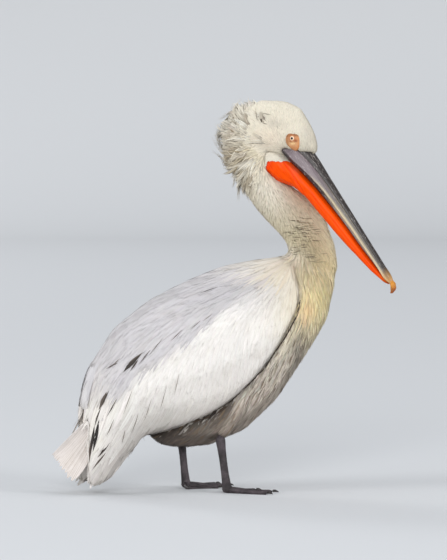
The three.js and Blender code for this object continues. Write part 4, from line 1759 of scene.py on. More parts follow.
@dataclass(frozen=True)
class PouchHide:
    """The pouch in breeding colour: thin bare elastic skin, satin and finely wrinkled along its length."""

    name: str = "pouch_hide"
    roughness: float = 0.42

    def build(self) -> Material:
        """Builds the finish on the jaw's own colour layer and its s, n, y places.

        Returns:
            The material.
        """
        material, tree = new_material(self.name)
        tone = add(tree, "Attribute", {"attribute_name": "tone"}).outputs["Color"]
        place = add(tree, "Attribute", {"attribute_name": "bill_place"}).outputs["Color"]
        along = add(tree, "Mapping", {"Scale": (14.0, 330.0, 330.0), "Vector": place}).outputs[0]
        fine = {"Scale": 1.0, "Detail": 4.0, "Roughness": 0.55, "Vector": along}
        wrinkle = add(tree, "TexNoise", fine).outputs["Fac"]
        pores = add(tree, "TexVoronoi", {"Scale": 900.0, "Vector": place}).outputs["Distance"]
        red = add(tree, "MapRange", {**SMOOTH, 0: wrinkle, 1: 0.55, 2: 0.35, 4: 0.3}).outputs[0]
        shade = add(tree, "Mix", {**STAIN, 0: red, 6: tone, 7: linear("#D8552A")}).outputs[2]
        pits = add(tree, "Math", {"operation": "MULTIPLY", 0: pores, 1: 0.3}).outputs[0]
        height = add(tree, "Math", {"operation": "ADD", 0: wrinkle, 1: pits}).outputs[0]
        surfaced(tree, shade, self.roughness, 0.12, (height, 0.45, 0.5 * MM))
        return material


@dataclass(frozen=True)
class GrainedSkin:
    """Bare skin or horn with a fine net of scales or pores, in two tones."""

    name: str
    light: str
    dark: str
    cell: float  # width of one scale, mm, drawn a little coarser than real where it would not show
    relief: float = 0.3 * MM
    roughness: float = 0.6
    toned: bool = False  # whether the piece carries its own tone

    def build(self) -> Material:
        """Builds the finish on the object's own coordinates.

        Returns:
            The material.
        """
        material, tree = new_material(self.name)
        ground = linear(self.light)
        if self.toned:
            ground = add(tree, "Attribute", {"attribute_name": "tone"}).outputs["Color"]
        place = add(tree, "TexCoord").outputs["Object"]
        scale = 1 / (self.cell * MM)
        cells = {"feature": "DISTANCE_TO_EDGE", "Scale": scale, "Vector": place}
        net = add(tree, "TexVoronoi", cells).outputs["Distance"]
        patch = add(tree, "TexNoise", {"Scale": scale / 9, "Detail": 3.0, "Vector": place}).outputs["Fac"]
        most = 0.35 if self.toned else 1.0
        patchy = add(tree, "MapRange", {**SMOOTH, 0: patch, 1: 0.35, 2: 0.7, 4: most}).outputs[0]
        shade = add(tree, "Mix", {**LAY, 0: patchy, 6: ground, 7: linear(self.dark)}).outputs[2]
        rims = add(tree, "MapRange", {**SMOOTH, 0: net, 1: 0.12, 2: 0.0, 4: 0.5}).outputs[0]
        shade = add(tree, "Mix", {**STAIN, 0: rims, 6: shade, 7: linear(self.dark)}).outputs[2]
        height = add(tree, "MapRange", {**SMOOTH, 0: net, 1: 0.0, 2: 0.25}).outputs[0]
        surfaced(tree, shade, self.roughness, 0.4, (height, 0.7, self.relief))
        return material


@dataclass(frozen=True)
class WetEye:
    """A living eye: pale iris with fine spokes, black pupil and dark rim under a wet clear cornea."""

    name: str = "wet_eye"
    pupil: str = "#1A0A05"
    iris_inner: str = "#F9E2C4"
    iris_outer: str = "#D58A58"
    rim: str = "#3A1D12"

    def build(self) -> Material:
        """Builds the finish on the eye's map: across from the pupil's centre, and round it.

        Returns:
            The material.
        """
        material, tree = new_material(self.name)
        gaze = add(tree, "UVMap", {"uv_map": "Gaze"}).outputs["UV"]
        away = add(tree, "SeparateXYZ", {0: gaze}).outputs["X"]
        spokes = add(tree, "Mapping", {"Scale": (3.0, 60.0, 1.0), "Vector": gaze}).outputs[0]
        spoke = add(tree, "TexNoise", {"Scale": 1.0, "Detail": 3.0, "Vector": spokes}).outputs["Fac"]
        iris = add(tree, "MapRange", {**SMOOTH, 0: away, 1: 0.34, 2: 0.42}).outputs[0]
        tones = {0: iris, 6: linear(self.iris_inner), 7: linear(self.iris_outer)}
        shade = add(tree, "Mix", {**LAY, **tones}).outputs[2]
        rays = add(tree, "MapRange", {**SMOOTH, 0: spoke, 1: 0.5, 2: 0.75, 4: 0.35}).outputs[0]
        shade = add(tree, "Mix", {**STAIN, 0: rays, 6: shade, 7: linear("#B98B4E")}).outputs[2]
        for low, high, colour in ((0.46, 0.52, self.rim), (0.21, 0.185, self.pupil)):
            ring = add(tree, "MapRange", {**SMOOTH, 0: away, 1: low, 2: high}).outputs[0]
            shade = add(tree, "Mix", {**LAY, 0: ring, 6: shade, 7: linear(colour)}).outputs[2]
        cornea = {"Coat Weight": 0.3, "Coat Roughness": 0.03, "Coat IOR": 1.376}
        surfaced(tree, shade, 0.4, 0.3, more=cornea)
        return material


@dataclass
class Eye:
    """One eyeball with its raised cornea, and the bare wrinkled skin and lids round it."""

    frame: HeadFrame
    side: str
    opening: float = 6.3  # radius between the lids, mm
    bulge: float = 0.9  # how far the cornea stands out, mm
    outline: Table = (
        (-15, 3), (-12, 8.5), (3, 10.5), (13, 8), (17, -1),
        (17, -12), (14.5, -22), (8, -29), (-6, -23), (-15, -12),
    )  # the bare patch round the eye, ahead of and above its middle, mm
    segments: int = 72

    @property
    def sign(self) -> float:
        """1 for the left eye and -1 for the right."""
        return 1.0 if self.side == "left" else -1.0

    def build(self, nodes: Nodes) -> None:
        """Builds the eyeball and the skin round it."""
        self._ball()
        self._face(nodes)

    def _point(self, ahead: float, aside: float, above: float) -> Vector:
        """A row-frame point, given in mm ahead of and above the eye and aside of the head's middle."""
        x, z = self.frame.eye_ahead + ahead, self.frame.eye_height + above
        return self.frame.point(x, self.sign * aside, z)

    def _places(self, mesh: Mesh) -> tuple[Array, Array, Array]:
        """How far a mesh's vertices lie ahead, aside and above, in the same mm.

        Args:
            mesh: the mesh, in the row frame.

        Returns:
            The three distances at each vertex.
        """
        zero, ahead, left = self.frame.axes()
        away = (vertices_of(mesh) - np.array(zero)) / MM
        aside = self.sign * (away @ np.array(left))
        return away @ np.array(ahead) - self.frame.eye_ahead, aside, away[:, 2] - self.frame.eye_height

    def _ball(self) -> None:
        """The eyeball, its pole turned outwards."""
        radius = self.frame.eye_radius
        shape = bmesh.new()
        bmesh.ops.create_uvsphere(shape, u_segments=64, v_segments=48, radius=radius, calc_uvs=False)
        gaze = shape.loops.layers.uv.new("Gaze")
        shape.verts.index_update()
        away = [math.acos(max(-1.0, min(1.0, v.co.z / radius))) / (math.pi / 2) for v in shape.verts]
        for face in shape.faces:
            centre = face.calc_center_median()
            turn = (math.atan2(centre.y, centre.x) / math.tau) % 1.0
            for loop in face.loops:
                loop[gaze].uv = (away[loop.vert.index], turn)
        for vertex, share in zip(shape.verts, away):
            bulge = self.bulge * math.exp(-((share / 0.36) ** 2))
            local = vertex.co * (1 + bulge / radius)
            vertex.co = self._point(local.x, self.frame.eye_aside + local.z, local.y)
        bmesh.ops.recalc_face_normals(shape, faces=shape.faces)
        name = f"eyeball_{self.side}"
        piece = add_object(name, mesh_from(name, shape), WetEye().build())
        finish_piece(piece, "eye", f"eye_{self.side}")

    def _reach(self, angles: Array) -> Array:
        """How far the outline lies from the eye's middle.

        Args:
            angles: from -pi to pi.

        Returns:
            The distances, mm.
        """
        corners = np.array(self.outline, dtype=float)
        turn = np.arctan2(corners[:, 1], corners[:, 0])
        order = np.argsort(turn)
        turn, reach = turn[order], np.hypot(corners[:, 0], corners[:, 1])[order]
        turn = np.concatenate([turn - math.tau, turn, turn + math.tau])
        return curve(np.stack([turn, np.tile(reach, 3)], axis=1), angles, 1)

    def _bed(self, node: Object) -> Callable[[float, float], float]:
        """The head's surface round the eye as a smooth function.

        Args:
            node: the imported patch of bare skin.

        Returns:
            The function, which gives mm aside by mm ahead and above.
        """
        x, y, z = self._places(node.data)
        terms = np.stack([np.ones_like(x), x, z, x * x, z * z, x * z], axis=1)
        fit = np.linalg.lstsq(terms, y, rcond=None)[0]
        return lambda a, b: float(fit @ np.array([1.0, a, b, a * a, b * b, a * b]))

    def patch(self, nodes: Nodes) -> Outline:
        """The bare patch as a flat fan, for the feathers to keep clear of.

        Args:
            nodes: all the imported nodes.

        Returns:
            The fan's corners and faces.
        """
        bed = self._bed(nodes[f"face_skin_{self.side}"])
        places = []
        for angle in np.arange(self.segments) * math.tau / self.segments:
            reach = float(self._reach(np.array([(angle + math.pi) % math.tau - math.pi]))[0])
            a, b = reach * math.cos(angle), reach * math.sin(angle)
            places.append(self._point(a, bed(a, b), b))
        middle = self._point(0, bed(0, 0), 0)
        count = self.segments
        return places + [middle], [[i, (i + 1) % count, count] for i in range(count)]

    def _face(self, nodes: Nodes) -> None:
        """The lids and the bare patch: rings from the opening outwards, folded like soft skin.

        Args:
            nodes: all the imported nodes.
        """
        bed = self._bed(nodes[f"face_skin_{self.side}"])
        angles = np.arange(self.segments) * math.tau / self.segments
        reach = self._reach((angles + math.pi) % math.tau - math.pi)
        folds = (
            (0.00, -1.6), (0.01, -0.2), (0.03, 0.8), (0.07, 1.4), (0.12, 1.6), (0.18, 1.2), (0.24, 0.4),
            (0.30, -0.1), (0.36, 0.4), (0.43, 0.7), (0.50, 0.5), (0.56, 0.2), (0.64, 0.5), (0.72, 0.6),
            (0.80, 0.35), (0.90, 0.4), (1.0, -0.2), (1.08, -1.6),
        )
        rings = []
        for share, relief in folds:
            ring = []
            for angle, outer in zip(angles, reach):
                squeeze = 1 - 0.07 * abs(math.sin(angle)) ** 2
                inner = self.opening * squeeze
                radius = inner + (outer - inner) * share
                a, b = radius * math.cos(angle), radius * math.sin(angle)
                wave = 0.12 * math.sin(angle * 11 + share * 9) * min(share * 4, 1)
                ball = math.sqrt(max(self.frame.eye_radius**2 - radius**2, 0.0)) + self.frame.eye_aside
                surface = max(bed(a, b), ball if radius < 7.5 else 0.0)
                ring.append(self._point(a, surface + relief + wave, b))
            rings.append(ring)
        shape = loft(rings)
        caps = [f for f in shape.faces if len(f.verts) > 4]
        bmesh.ops.delete(shape, geom=caps, context="FACES_ONLY")
        if self.sign > 0:
            bmesh.ops.reverse_faces(shape, faces=shape.faces)
        self._face_outwards(shape)
        material = GrainedSkin("face_skin", "#E8B27C", "#C98A5C", 1.1, 0.25 * MM, 0.5, True).build()
        mesh = mesh_from(f"orbital_skin_{self.side}", shape)
        set_layer(mesh, "tone", self._tones(mesh))
        piece = add_object(f"orbital_skin_{self.side}", mesh, material)
        thicken = piece.modifiers.new("Solidify", "SOLIDIFY")
        thicken.thickness = 0.5 * MM
        subdivide(piece, 1)
        finish_piece(piece, "bare_face_skin", f"face_skin_{self.side}")

    def _tones(self, mesh: Mesh) -> Array:
        """Tan above and behind the eye, rust-brown painted shadow before and under it, pale apricot below.

        Args:
            mesh: the lids and the patch.

        Returns:
            Rows of linear colours.
        """
        a, _, b = self._places(mesh)
        radius = np.hypot(a, b)
        tones = np.tile(rgb("#DFAA7C"), (len(a), 1))
        lids = bell(radius, 7.0, 1.6) * 0.6
        pale = bell(b, -12, 4.5) * bell(a, 0, 9) * 0.85
        tan = grade(b, 2, 5) * grade(radius, 7, 2) * 0.9 + grade(a, -7, -4) * 0.6
        # painted shadow: rust brown ahead of and under the eye
        rust_shade = bell(a, 9, 4.5) * bell(b, -6, 3.0) + bell(a, -4, 3.5) * bell(b, -8.5, 2.2) * 0.7
        orange = grade(b, -16, -8) * 0.5 + grade(a, 9, 5) * 0.5
        layers = (
            (orange, "#E2985C"), (pale, "#FFE0A6"), (tan, "#97683F"), (lids, "#C07848"), (rust_shade, "#8A3A10"),
        )
        for share, colour in layers:
            tones = tint(tones, colour, np.clip(share, 0, 1))
        return tones

    def _face_outwards(self, shape: BMesh) -> None:
        """Turns the patch's faces away from the head.

        Args:
            shape: the lids and the patch.
        """
        _, _, left = self.frame.axes()
        shape.normal_update()
        outwards = sum(f.normal.dot(left) for f in shape.faces) * self.sign
        if outwards < 0:
            bmesh.ops.reverse_faces(shape, faces=shape.faces)


@dataclass
class UpperBill:
    """The long upper bill: a ridge between two grooves, broad side plates and a cutting edge."""

    frame: BillFrame
    # s, top, ridge half width, groove, plate top, plate half width, edge, underside, palate half width
    stations: Table = (
        (-42, -56, 8, -58, -57, 10, -59, -61, 5),
        (-34, -34, 16, -46, -47, 27, -58, -67, 20),
        (-20, -8, 22, -30, -32, 32, -54, -64, 25),
        (0, -3, 21.5, -25, -24, 34, -50, -60, 26),
        (30, -0.8, 18.5, -18.5, -18, 31.5, -42, -52, 25),
        (80, -1, 14, -13, -14.2, 27, -31, -43, 22),
        (140, -0.8, 10.8, -10.5, -12, 23.5, -23.5, -34.5, 19.5),
        (200, -0.5, 8.8, -8.9, -10.6, 22, -19, -28, 18),
        (270, -0.5, 7.6, -7.6, -8.6, 23, -14.8, -23.5, 18),
        (340, -0.5, 7.5, -6.8, -7.2, 24, -12, -16, 16),
        (376, -1.2, 7, -7, -7.5, 19, -12, -13.5, 12),
        (388, -5, 3, -8, -8.5, 5, -11, -12.5, 3),
    )
    sections: int = 96
    groove: float = 2.4  # width of the groove beside the ridge

    def section(self, s: float) -> list[tuple[float, float]]:
        """Half of one section.

        Args:
            s: mm along the ridge.

        Returns:
            Its corners as y and n, from the ridge's top round to the palate's middle.
        """
        read = [float(curve(self.stations, np.array([s]), i)[0]) for i in range(1, 9)]
        top, ridge, groove, plate, half, edge, under, palate = read
        rise, drop = top - groove, plate - edge
        inner = ridge + self.groove
        crown = ((0.0, 0.0), (0.3, 0.03), (0.58, 0.14), (0.82, 0.38), (0.97, 0.72))
        flank = ((0.25, 0.03), (0.5, 0.16), (0.72, 0.4), (0.9, 0.7))
        return [
            *((out * ridge, top - down * rise) for out, down in crown),
            (ridge + 0.2, groove + 0.06 * rise), (ridge + 0.9, groove - 0.8), (inner, plate - 0.2),
            *((inner + out * (half - inner), plate - down * drop) for out, down in flank),
            (half - 0.3, edge + 2.6), (half + 0.4, edge + 1.6), (half + 0.5, edge + 0.2),
            (half - 0.4, edge - 0.9), (half - 1.8, edge - 0.9),
            (0.5 * (half + palate), 0.6 * edge + 0.4 * under),
            (palate, 0.2 * edge + 0.8 * under), (0.55 * palate, under), (0.0, under),
        ]

    def build(self) -> Object:
        """Builds the horn from its sections and colours it.

        Returns:
            The upper bill.
        """
        ends = (self.stations[0][0], self.stations[-1][0])
        share = np.linspace(0, 1, self.sections)
        rings = []
        for s in ends[0] + (ends[1] - ends[0]) * share:
            half = self.section(float(s))
            loop = half + [(-y, n) for y, n in half[-2:0:-1]]
            rings.append([self.frame.point(float(s), n, y) for y, n in loop])
        mesh = mesh_from("upper_bill_horn", loft(rings))
        places = self.frame.places(vertices_of(mesh))
        set_layer(mesh, "bill_place", places * MM)
        set_layer(mesh, "tone", self._tones(places))
        piece = add_object("upper_bill_horn", mesh, BillHorn().build())
        subdivide(piece, 1)
        return finish_piece(piece, "bill_horn", "upper_bill")

    def _tones(self, places: Array) -> Array:
        """Slate on the ridge, mauve grey on the plates by the face, cream along the edge and at the tip.

        Args:
            places: rows of s, n and y.

        Returns:
            Rows of linear colours.
        """
        s, n, y = places.T
        ridge, half, edge = (curve(self.stations, s, i) for i in (2, 5, 6))
        groove = ridge + self.groove
        across = grade(np.abs(y), groove, np.maximum(half - groove, 1.0))
        plate = (np.abs(y) > ridge + 1.2).astype(float)
        side = tint(np.tile(rgb("#7D7075"), (len(s), 1)), "#7F7B78", grade(s, 60, 120))
        tones = tint(side, "#2D2624", 1 - plate)
        rim = bell(n, edge + 1.5, 2.8) * (across > 0.7) * grade(s, 50, 60)
        rim += 0.55 * bell(np.abs(y), ridge + 3.2, 1.3) * grade(s, 60, 80)
        tones = tint(tones, "#DCCDA9", np.clip(rim, 0, 0.95))
        shade = bell(across, 0.12, 0.1) * plate * 0.5 + grade(s, -5, -25) * 0.55
        tones = tint(tones, "#3B3638", shade)
        # painted shadow: the lower edge and underside near the base darken, as the shade between bill and
        # pouch
        gap = grade(n, edge + 2.4, -2.0) * grade(s, 170, -60) * 0.9
        tones = tint(tones, "#231D1E", gap)
        return tint(tones, "#E0A860", grade(s, 345, 35) * 0.8)


@dataclass
class Jaw:
    """The lower bill: two thin branches with the bare pouch between and behind them."""

    frame: BillFrame
    voxel: float = 2.2 * MM
    # the line of the crease under the branches, and of the fold behind it: s, and n there
    crease: Table = (
        (-20, 22, 59, 120, 189, 240, 320, 380), (-70, -73, -63, -54, -45, -39.5, -28.5, -18),
    )
    fold: Table = ((-10, 28, 60, 90), (-73, -67.5, -69.5, -72))

    def build(self, nodes: Nodes) -> Object:
        """Builds the jaw's one skin with its crease, folds and colours.

        Args:
            nodes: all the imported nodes.

        Returns:
            The jaw.
        """
        mesh = relaxed_copy("jaw_skin", [nodes["lower_bill"], nodes["pouch"]], self.voxel, 26)
        places = self.frame.places(vertices_of(mesh))
        s, n, y = places.T
        crease_n, fold_n = np.interp(s, *self.crease), np.interp(s, *self.fold)
        aside = grade(np.abs(y), 12, 8)
        crease = bell(n, crease_n, 1.7) * aside * grade(s, 70, 30) * grade(s, 350, -60)
        fold = grade(s, -5, 15) * grade(s, 96, -12) * aside
        crease = crease + 1.8 * bell(n, fold_n, 1.6) * fold - 0.9 * bell(n, fold_n - 4.5, 2.6) * fold
        bulge = bell(n, crease_n + 7, 6) * aside
        below = grade(n, crease_n, -6) * grade(s, 340, -60)
        folds = np.sin((n - crease_n) * 1.15 + 0.8 * np.sin(s / 23)) * below
        lobe = grade(s, 30, -50)
        ripples = np.sin(s / 4.6 + n / 9) * lobe * below
        heights = -1.3 * crease + 0.6 * bulge + 0.35 * folds * (1 - lobe) + 0.5 * ripples
        displace(mesh, heights * MM)
        set_layer(mesh, "bill_place", places * MM)
        set_layer(mesh, "tone", self._tones(places, np.where(s < 90, fold_n, crease_n)))
        piece = add_object("jaw_and_pouch", mesh, PouchHide().build())
        return finish_piece(piece, "pouch_skin", "lower_bill", "pouch")

    def _tones(self, places: Array, crease: Array) -> Array:
        """Bright orange, redder in the rear lobe and along the crease, with a painted pink highlight.

        Args:
            places: rows of s, n and y.
            crease: the crease's n at each.

        Returns:
            Rows of linear colours.
        """
        s, n = places.T[:2]
        lobe = grade(s, 0, -40) * grade(n, -88, -14) * 0.85
        line = bell(n, crease, 2.0) * np.maximum(grade(s, 90, -60), 0.25) * 0.45
        # painted highlight: a pink patch above the fold near the gape
        rose_highlight = bell(s, 25, 16) * bell(n, -60, 7) * 0.6
        far = grade(s, 350, 40) * 0.7
        tones = np.tile(rgb("#FF5400"), (len(s), 1))
        for share, colour in ((rose_highlight, "#FF6A48"), (line, "#DE2A10"), (lobe, "#DE2A10"), (far, "#E8862C")):
            tones = tint(tones, colour, share)
        return tones


@dataclass
class GapeFeathers:
    """The wedge of short cheek feathers that runs forward under the base of the bill, over the pouch."""

    frame: BillFrame
    skin: Skin
    # the wedge's corners as s, n: along the pouch's upper border, then back along the bill's edge
    corners: Table = (
        (-20, -124), (-21, -112), (-28, -105), (-28, -97), (-16, -81), (-4, -67), (9, -59), (26, -45),
        (-2, -44), (-36, -52), (-60, -72), (-66, -104), (-40, -126),
    )
    tries: int = 12000
    most: int = 2600  # feathers on both sides

    def build(self, jaw: Object, rng: Chance) -> None:
        """Lays the feathers on the jaw's own surface, on both sides.

        Args:
            jaw: the finished jaw.
            rng: the source of chance.
        """
        tree = search_tree([outline_of(jaw)])
        tufts = Tufts("gape_feathers", Vane(4, 2, 0.45, 0.7), self.skin)
        box = np.array(self.corners)
        roots, ways = [], []
        for _ in range(self.tries):
            s, n = rng.uniform(box.min(axis=0), box.max(axis=0))
            side = rng.choice((-1.0, 1.0))
            if not self._inside(s, n):
                continue
            start = self.frame.point(s, n, 70 * side)
            inwards = self.frame.point(s, n, 0) - start
            hit = tree.ray_cast(start, inwards.normalized())[0]
            if hit is not None:
                here = self.frame.point(s, n, 10 * side)
                roots.append(hit)
                ways.append(self.frame.point(s - 0.3, n - 1.0, 10 * side) - here)
        roots, ways = np.array(roots)[: self.most], unit(np.array(ways)[: self.most])
        count = len(roots)
        ways = unit(ways + rng.normal(0, 0.12, (count, 3)))
        lengths = rng.uniform(8, 12, count) * MM
        centres, normals = [], []
        for level in tufts.levels:
            found = [tree.find_nearest(p) for p in (roots + ways * (lengths * level)[:, None]).tolist()]
            centres.append([f[0] for f in found])
            normals.append([f[1] for f in found])
        centres, normals = np.array(centres).transpose(1, 0, 2), np.array(normals).transpose(1, 0, 2)
        headings = flat(np.repeat(ways[:, None], len(tufts.levels), axis=1), normals)
        tones = rgb("#E6E0D2") * rng.normal(1, 0.06, (count, 1))
        widths = rng.uniform(1.1, 1.6, count) * MM
        tufts.dress((centres, normals, headings), widths, (1.2 * MM, 3.4 * MM), 0.08 * MM, tones)
        tufts.build(Plumage("gape_feathers", 0.1, 0.25, 0.35).build(), "body_feathers")

    def _inside(self, s: float, n: float) -> bool:
        """Whether a place lies in the wedge.

        Args:
            s: mm along the ridge.
            n: mm above it.

        Returns:
            True inside.
        """
        inside = False
        ring = list(zip(self.corners, self.corners[1:] + self.corners[:1]))
        for (s0, n0), (s1, n1) in ring:
            if (n0 > n) != (n1 > n) and s < s0 + (n - n0) / (n1 - n0) * (s1 - s0):
                inside = not inside
        return inside


@dataclass
class Nail:
    """The hooked nail at the bill's tip."""

    frame: BillFrame

    def build(self, nodes: Nodes) -> Object:
        """Builds the nail with its low middle ridge.

        Args:
            nodes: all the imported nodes.

        Returns:
            The nail.
        """
        mesh = relaxed_copy("bill_nail_horn", [nodes["bill_nail"]], 0.8 * MM, 12, 0.0)
        places = self.frame.places(vertices_of(mesh))
        s, n, y = places.T
        displace(mesh, 0.5 * MM * bell(y, 0, 2.2) * (n > -12))
        set_layer(mesh, "bill_place", places * MM)
        light = np.tile(rgb("#D8902F"), (len(s), 1))
        set_layer(mesh, "tone", tint(light, "#B05E22", grade(s, 392, 12)))
        horn = BillHorn("nail_horn", 0.35).build()
        return finish_piece(add_object("bill_nail_horn", mesh, horn), "bill_nail_horn", "bill_nail")


@dataclass
class Leg:
    """One bare leg: flattened shank with scutes, four toes in one web, and claws."""

    side: str
    voxel: float = 1.5 * MM

    def build(self, nodes: Nodes) -> None:
        """Builds the leg's skin and its claws.

        Args:
            nodes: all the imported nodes.
        """
        names = [f"shank_{self.side}", f"foot_{self.side}"]
        mesh = relaxed_copy(f"leg_{self.side}", [nodes[n] for n in names], self.voxel, 10, 0.3 * MM)
        places = vertices_of(mesh)
        shank_low, shank_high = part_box(names[0])
        height = places[:, 2]
        upper = grade(height, 16 * MM, 8 * MM)
        rings = np.sin(height / (4.2 * MM) * math.tau)
        toe = grade(height, 18 * MM, -4 * MM) * grade(height, 4.2 * MM, 2 * MM)
        ankle = np.array([(shank_low.x + shank_high.x) / 2, (shank_low.y + shank_high.y) / 2])
        out = np.linalg.norm(places[:, :2] - ankle, axis=1)
        scutes = np.sin(out / (3.6 * MM) * math.tau)
        heights = (0.28 * np.maximum(rings, -0.4) * upper + 0.22 * np.maximum(scutes, -0.3) * toe) * MM
        displace(mesh, heights)
        places = vertices_of(mesh)
        places[:, 2] = np.where(places[:, 2] < 0.9 * MM, 0.0, places[:, 2])
        move(mesh, places)
        skin = GrainedSkin("leg_skin", "#554C51", "#2B2628", 2.4, 0.35 * MM, 0.55).build()
        finish_piece(add_object(f"leg_{self.side}", mesh, skin), "leg_skin", *names)
        horn = GrainedSkin("claw_horn", "#3A3331", "#241F1E", 5.0, 0.1 * MM, 0.35).build()
        for toe_name in ("outer", "middle", "inner", "hind"):
            node = f"claw_{toe_name}_{self.side}"
            claw = relaxed_copy(node + "_horn", [nodes[node]], 0.7 * MM, 8, 0.0)
            places = vertices_of(claw)
            places[:, 2] = np.maximum(places[:, 2], 0.0)
            move(claw, places)
            finish_piece(add_object(node + "_horn", claw, horn), "claw_horn", node)


# ---- studio


@dataclass(frozen=True)
class Studio:
    """A plain pale room with soft light and a long lens."""

    azimuth: float = math.radians(-12)
    elevation: float = math.radians(3)
    distance: float = 12.0
    view_height: float = 1.372  # height of the field of view at the bird
    aside: float = -11.0  # the view's centre, mm from the shanks' middle line
    height: float = 514.5
    floor_radius: float = 14.0
    cove: float = 2.5  # radius of the bend between the floor and the backdrop
    middle: tuple[float, float] = (0.0313, 0.0235)  # between the two shanks
    # name, watts and width, and how far to the right, towards the camera and up from the bird
    lamps: tuple[tuple[Any, ...], ...] = (
        ("key", 1820, 7.0, -1.5, 18.5, 5.2),
        ("left_fill", 1650, 6.0, -17.5, 7.0, 4.6),
        ("right_fill", 1250, 6.0, 16.0, 10.0, 5.0),
        ("rim", 800, 6.0, -11.0, -15.0, 9.0),
    )

    def build(self) -> None:
        """Makes the camera, the floor with its backdrop, the lamps and the world."""
        a, e = self.azimuth, self.elevation
        back = Vector((math.sin(a) * math.cos(e), -math.cos(a) * math.cos(e), math.sin(e)))
        right = Vector((math.cos(a), math.sin(a), 0))
        up = back.cross(right)
        zero = Vector((*self.middle, 0))
        target = zero + right * self.aside * MM + up * self.height * MM
        camera = bpy.data.cameras.new("camera")
        camera.sensor_fit = "VERTICAL"
        camera.sensor_height = 24
        camera.lens = 24 * self.distance / self.view_height
        camera.clip_end = 60
        seat = bpy.data.objects.new("camera", camera)
        turned = Matrix((right, up, back)).transposed().to_4x4()
        seat.matrix_world = Matrix.Translation(target + back * self.distance) @ turned
        bpy.context.scene.collection.objects.link(seat)
        bpy.context.scene.camera = seat
        self._floor()
        for name, power, size, across, near, high in self.lamps:
            self._lamp(name, power, size, right * across + back * near + Vector((0, 0, high)))
        world = bpy.data.worlds.new("studio")
        world.use_nodes = True
        tree = world.node_tree
        tree.nodes.clear()
        sky = add(tree, "Background", {"Color": linear("#F4F6FA"), "Strength": 0.55})
        add(tree, "OutputWorld", {"Surface": sky.outputs[0]})
        bpy.context.scene.world = world
        bpy.context.scene.view_settings.view_transform = "Standard"

    def _floor(self) -> None:
        """A round floor that turns up into a backdrop all round."""
        shape = bmesh.new()
        bmesh.ops.create_circle(shape, cap_ends=True, segments=96, radius=self.floor_radius)
        rim = shape.edges[:]
        for step in range(1, 13):
            turned = math.radians(90 * step / 12)
            grown = bmesh.ops.extrude_edge_only(shape, edges=rim)["geom"]
            ring = [v for v in grown if isinstance(v, BMVert)]
            rim = [g for g in grown if isinstance(g, BMEdge)]
            reach = self.floor_radius + self.cove * math.sin(turned)
            for vertex in ring:
                flat_place = vertex.co.xy.normalized() * reach
                vertex.co = Vector((flat_place.x, flat_place.y, self.cove * (1 - math.cos(turned))))
        floor = add_object("floor", mesh_from("floor", shape), StudioPaper().build())

    def _lamp(self, name: str, power: float, size: float, place: Vector) -> None:
        """A square soft light that faces the bird.

        Args:
            name: the lamp's name.
            power: watts.
            size: width, metres.
            place: where it hangs.
        """
        light = bpy.data.lights.new(name, "AREA")
        light.energy = power
        light.size = size
        lamp = bpy.data.objects.new(name, light)
        lamp.location = place
        lamp.rotation_euler = (Vector((0, 0, 0.5)) - place).to_track_quat("-Z", "Y").to_euler()
        bpy.context.scene.collection.objects.link(lamp)


# ---- the whole bird


@dataclass(frozen=True)
class Streak:
    """A feather's dark web that shows between the pale ones, or painted shadow, at a side-view place."""

    colour: str
    x: float  # its upper end, mm
    z: float
    angle: float  # degrees below the horizontal, towards the tail
    length: float  # mm
    half_width: float  # mm


STREAKS = tuple(
    Streak(*row)
    for row in (
        ("#4A4547", -8, 501, 20, 50, 1.1), ("#5A524B", -200, 348, 30, 50, 2.0),
        ("#3E3732", -205, 344, 36, 50, 2.8), ("#38322D", -209, 340, 44, 48, 3.6),
        ("#38322D", -222, 331, 47, 42, 5.2), ("#4A423C", -214, 330, 56, 34, 2.4),
        ("#77706A", -154, 381, 52, 58, 1.0), ("#5E564F", -184, 354, 54, 46, 1.3),
        ("#7C756F", -107, 402, 50, 46, 1.0), ("#857F79", -60, 424, 46, 40, 0.8),
        ("#8E8882", -30, 440, 42, 36, 0.7), ("#5E554E", -258, 321, 4, 36, 1.8),
        ("#7A7068", -252, 332, 30, 28, 1.2), ("#6A625B", -245, 413, 43, 54, 1.0),
        ("#6A625B", -292, 362, 62, 36, 1.1), ("#2E2A28", -312, 304, 68, 64, 2.8),
        ("#5E554E", -287, 252, 64, 48, 5.6), ("#463F3A", -282, 256, 58, 40, 2.0),
        ("#463F3A", -266, 238, 60, 52, 1.5), ("#3A302A", -325, 190, 84, 100, 4.8),
        ("#27201D", -329, 176, 86, 84, 4.0), ("#1E1A19", -304, 186, 70, 82, 6.0),
        ("#2C2623", -314, 170, 75, 76, 4.6), ("#5A4B42", -320, 140, 80, 62, 3.8),
        ("#3A322D", -282, 130, 55, 46, 3.0), ("#5A5049", -290, 106, 56, 54, 2.2),
        ("#463F3A", -300, 214, 68, 50, 2.4), ("#7A726A", -272, 190, 66, 52, 1.2),
        ("#8A827A", -245, 163, 80, 40, 1.2), ("#8A827A", -215, 205, 76, 60, 1.0),
        ("#9A938B", -185, 240, 74, 70, 0.8), ("#9A938B", -150, 270, 76, 70, 0.8),
        ("#8A827A", -230, 260, 70, 64, 1.0), ("#9A938B", -120, 300, 78, 60, 0.8),
        # painted shadow: the next five streaks lie on the body under the wing's lower edge, as its shade
        ("#2F2925", -9, 216, 57, 46, 4.6), ("#3B342F", -34, 196, 50, 34, 3.0),
        ("#4A3D33", 12, 215, 33, 40, 3.6), ("#4A3D33", -16, 198, 26, 40, 3.6),
        ("#54463B", -46, 184, 18, 36, 3.0),
    )
)
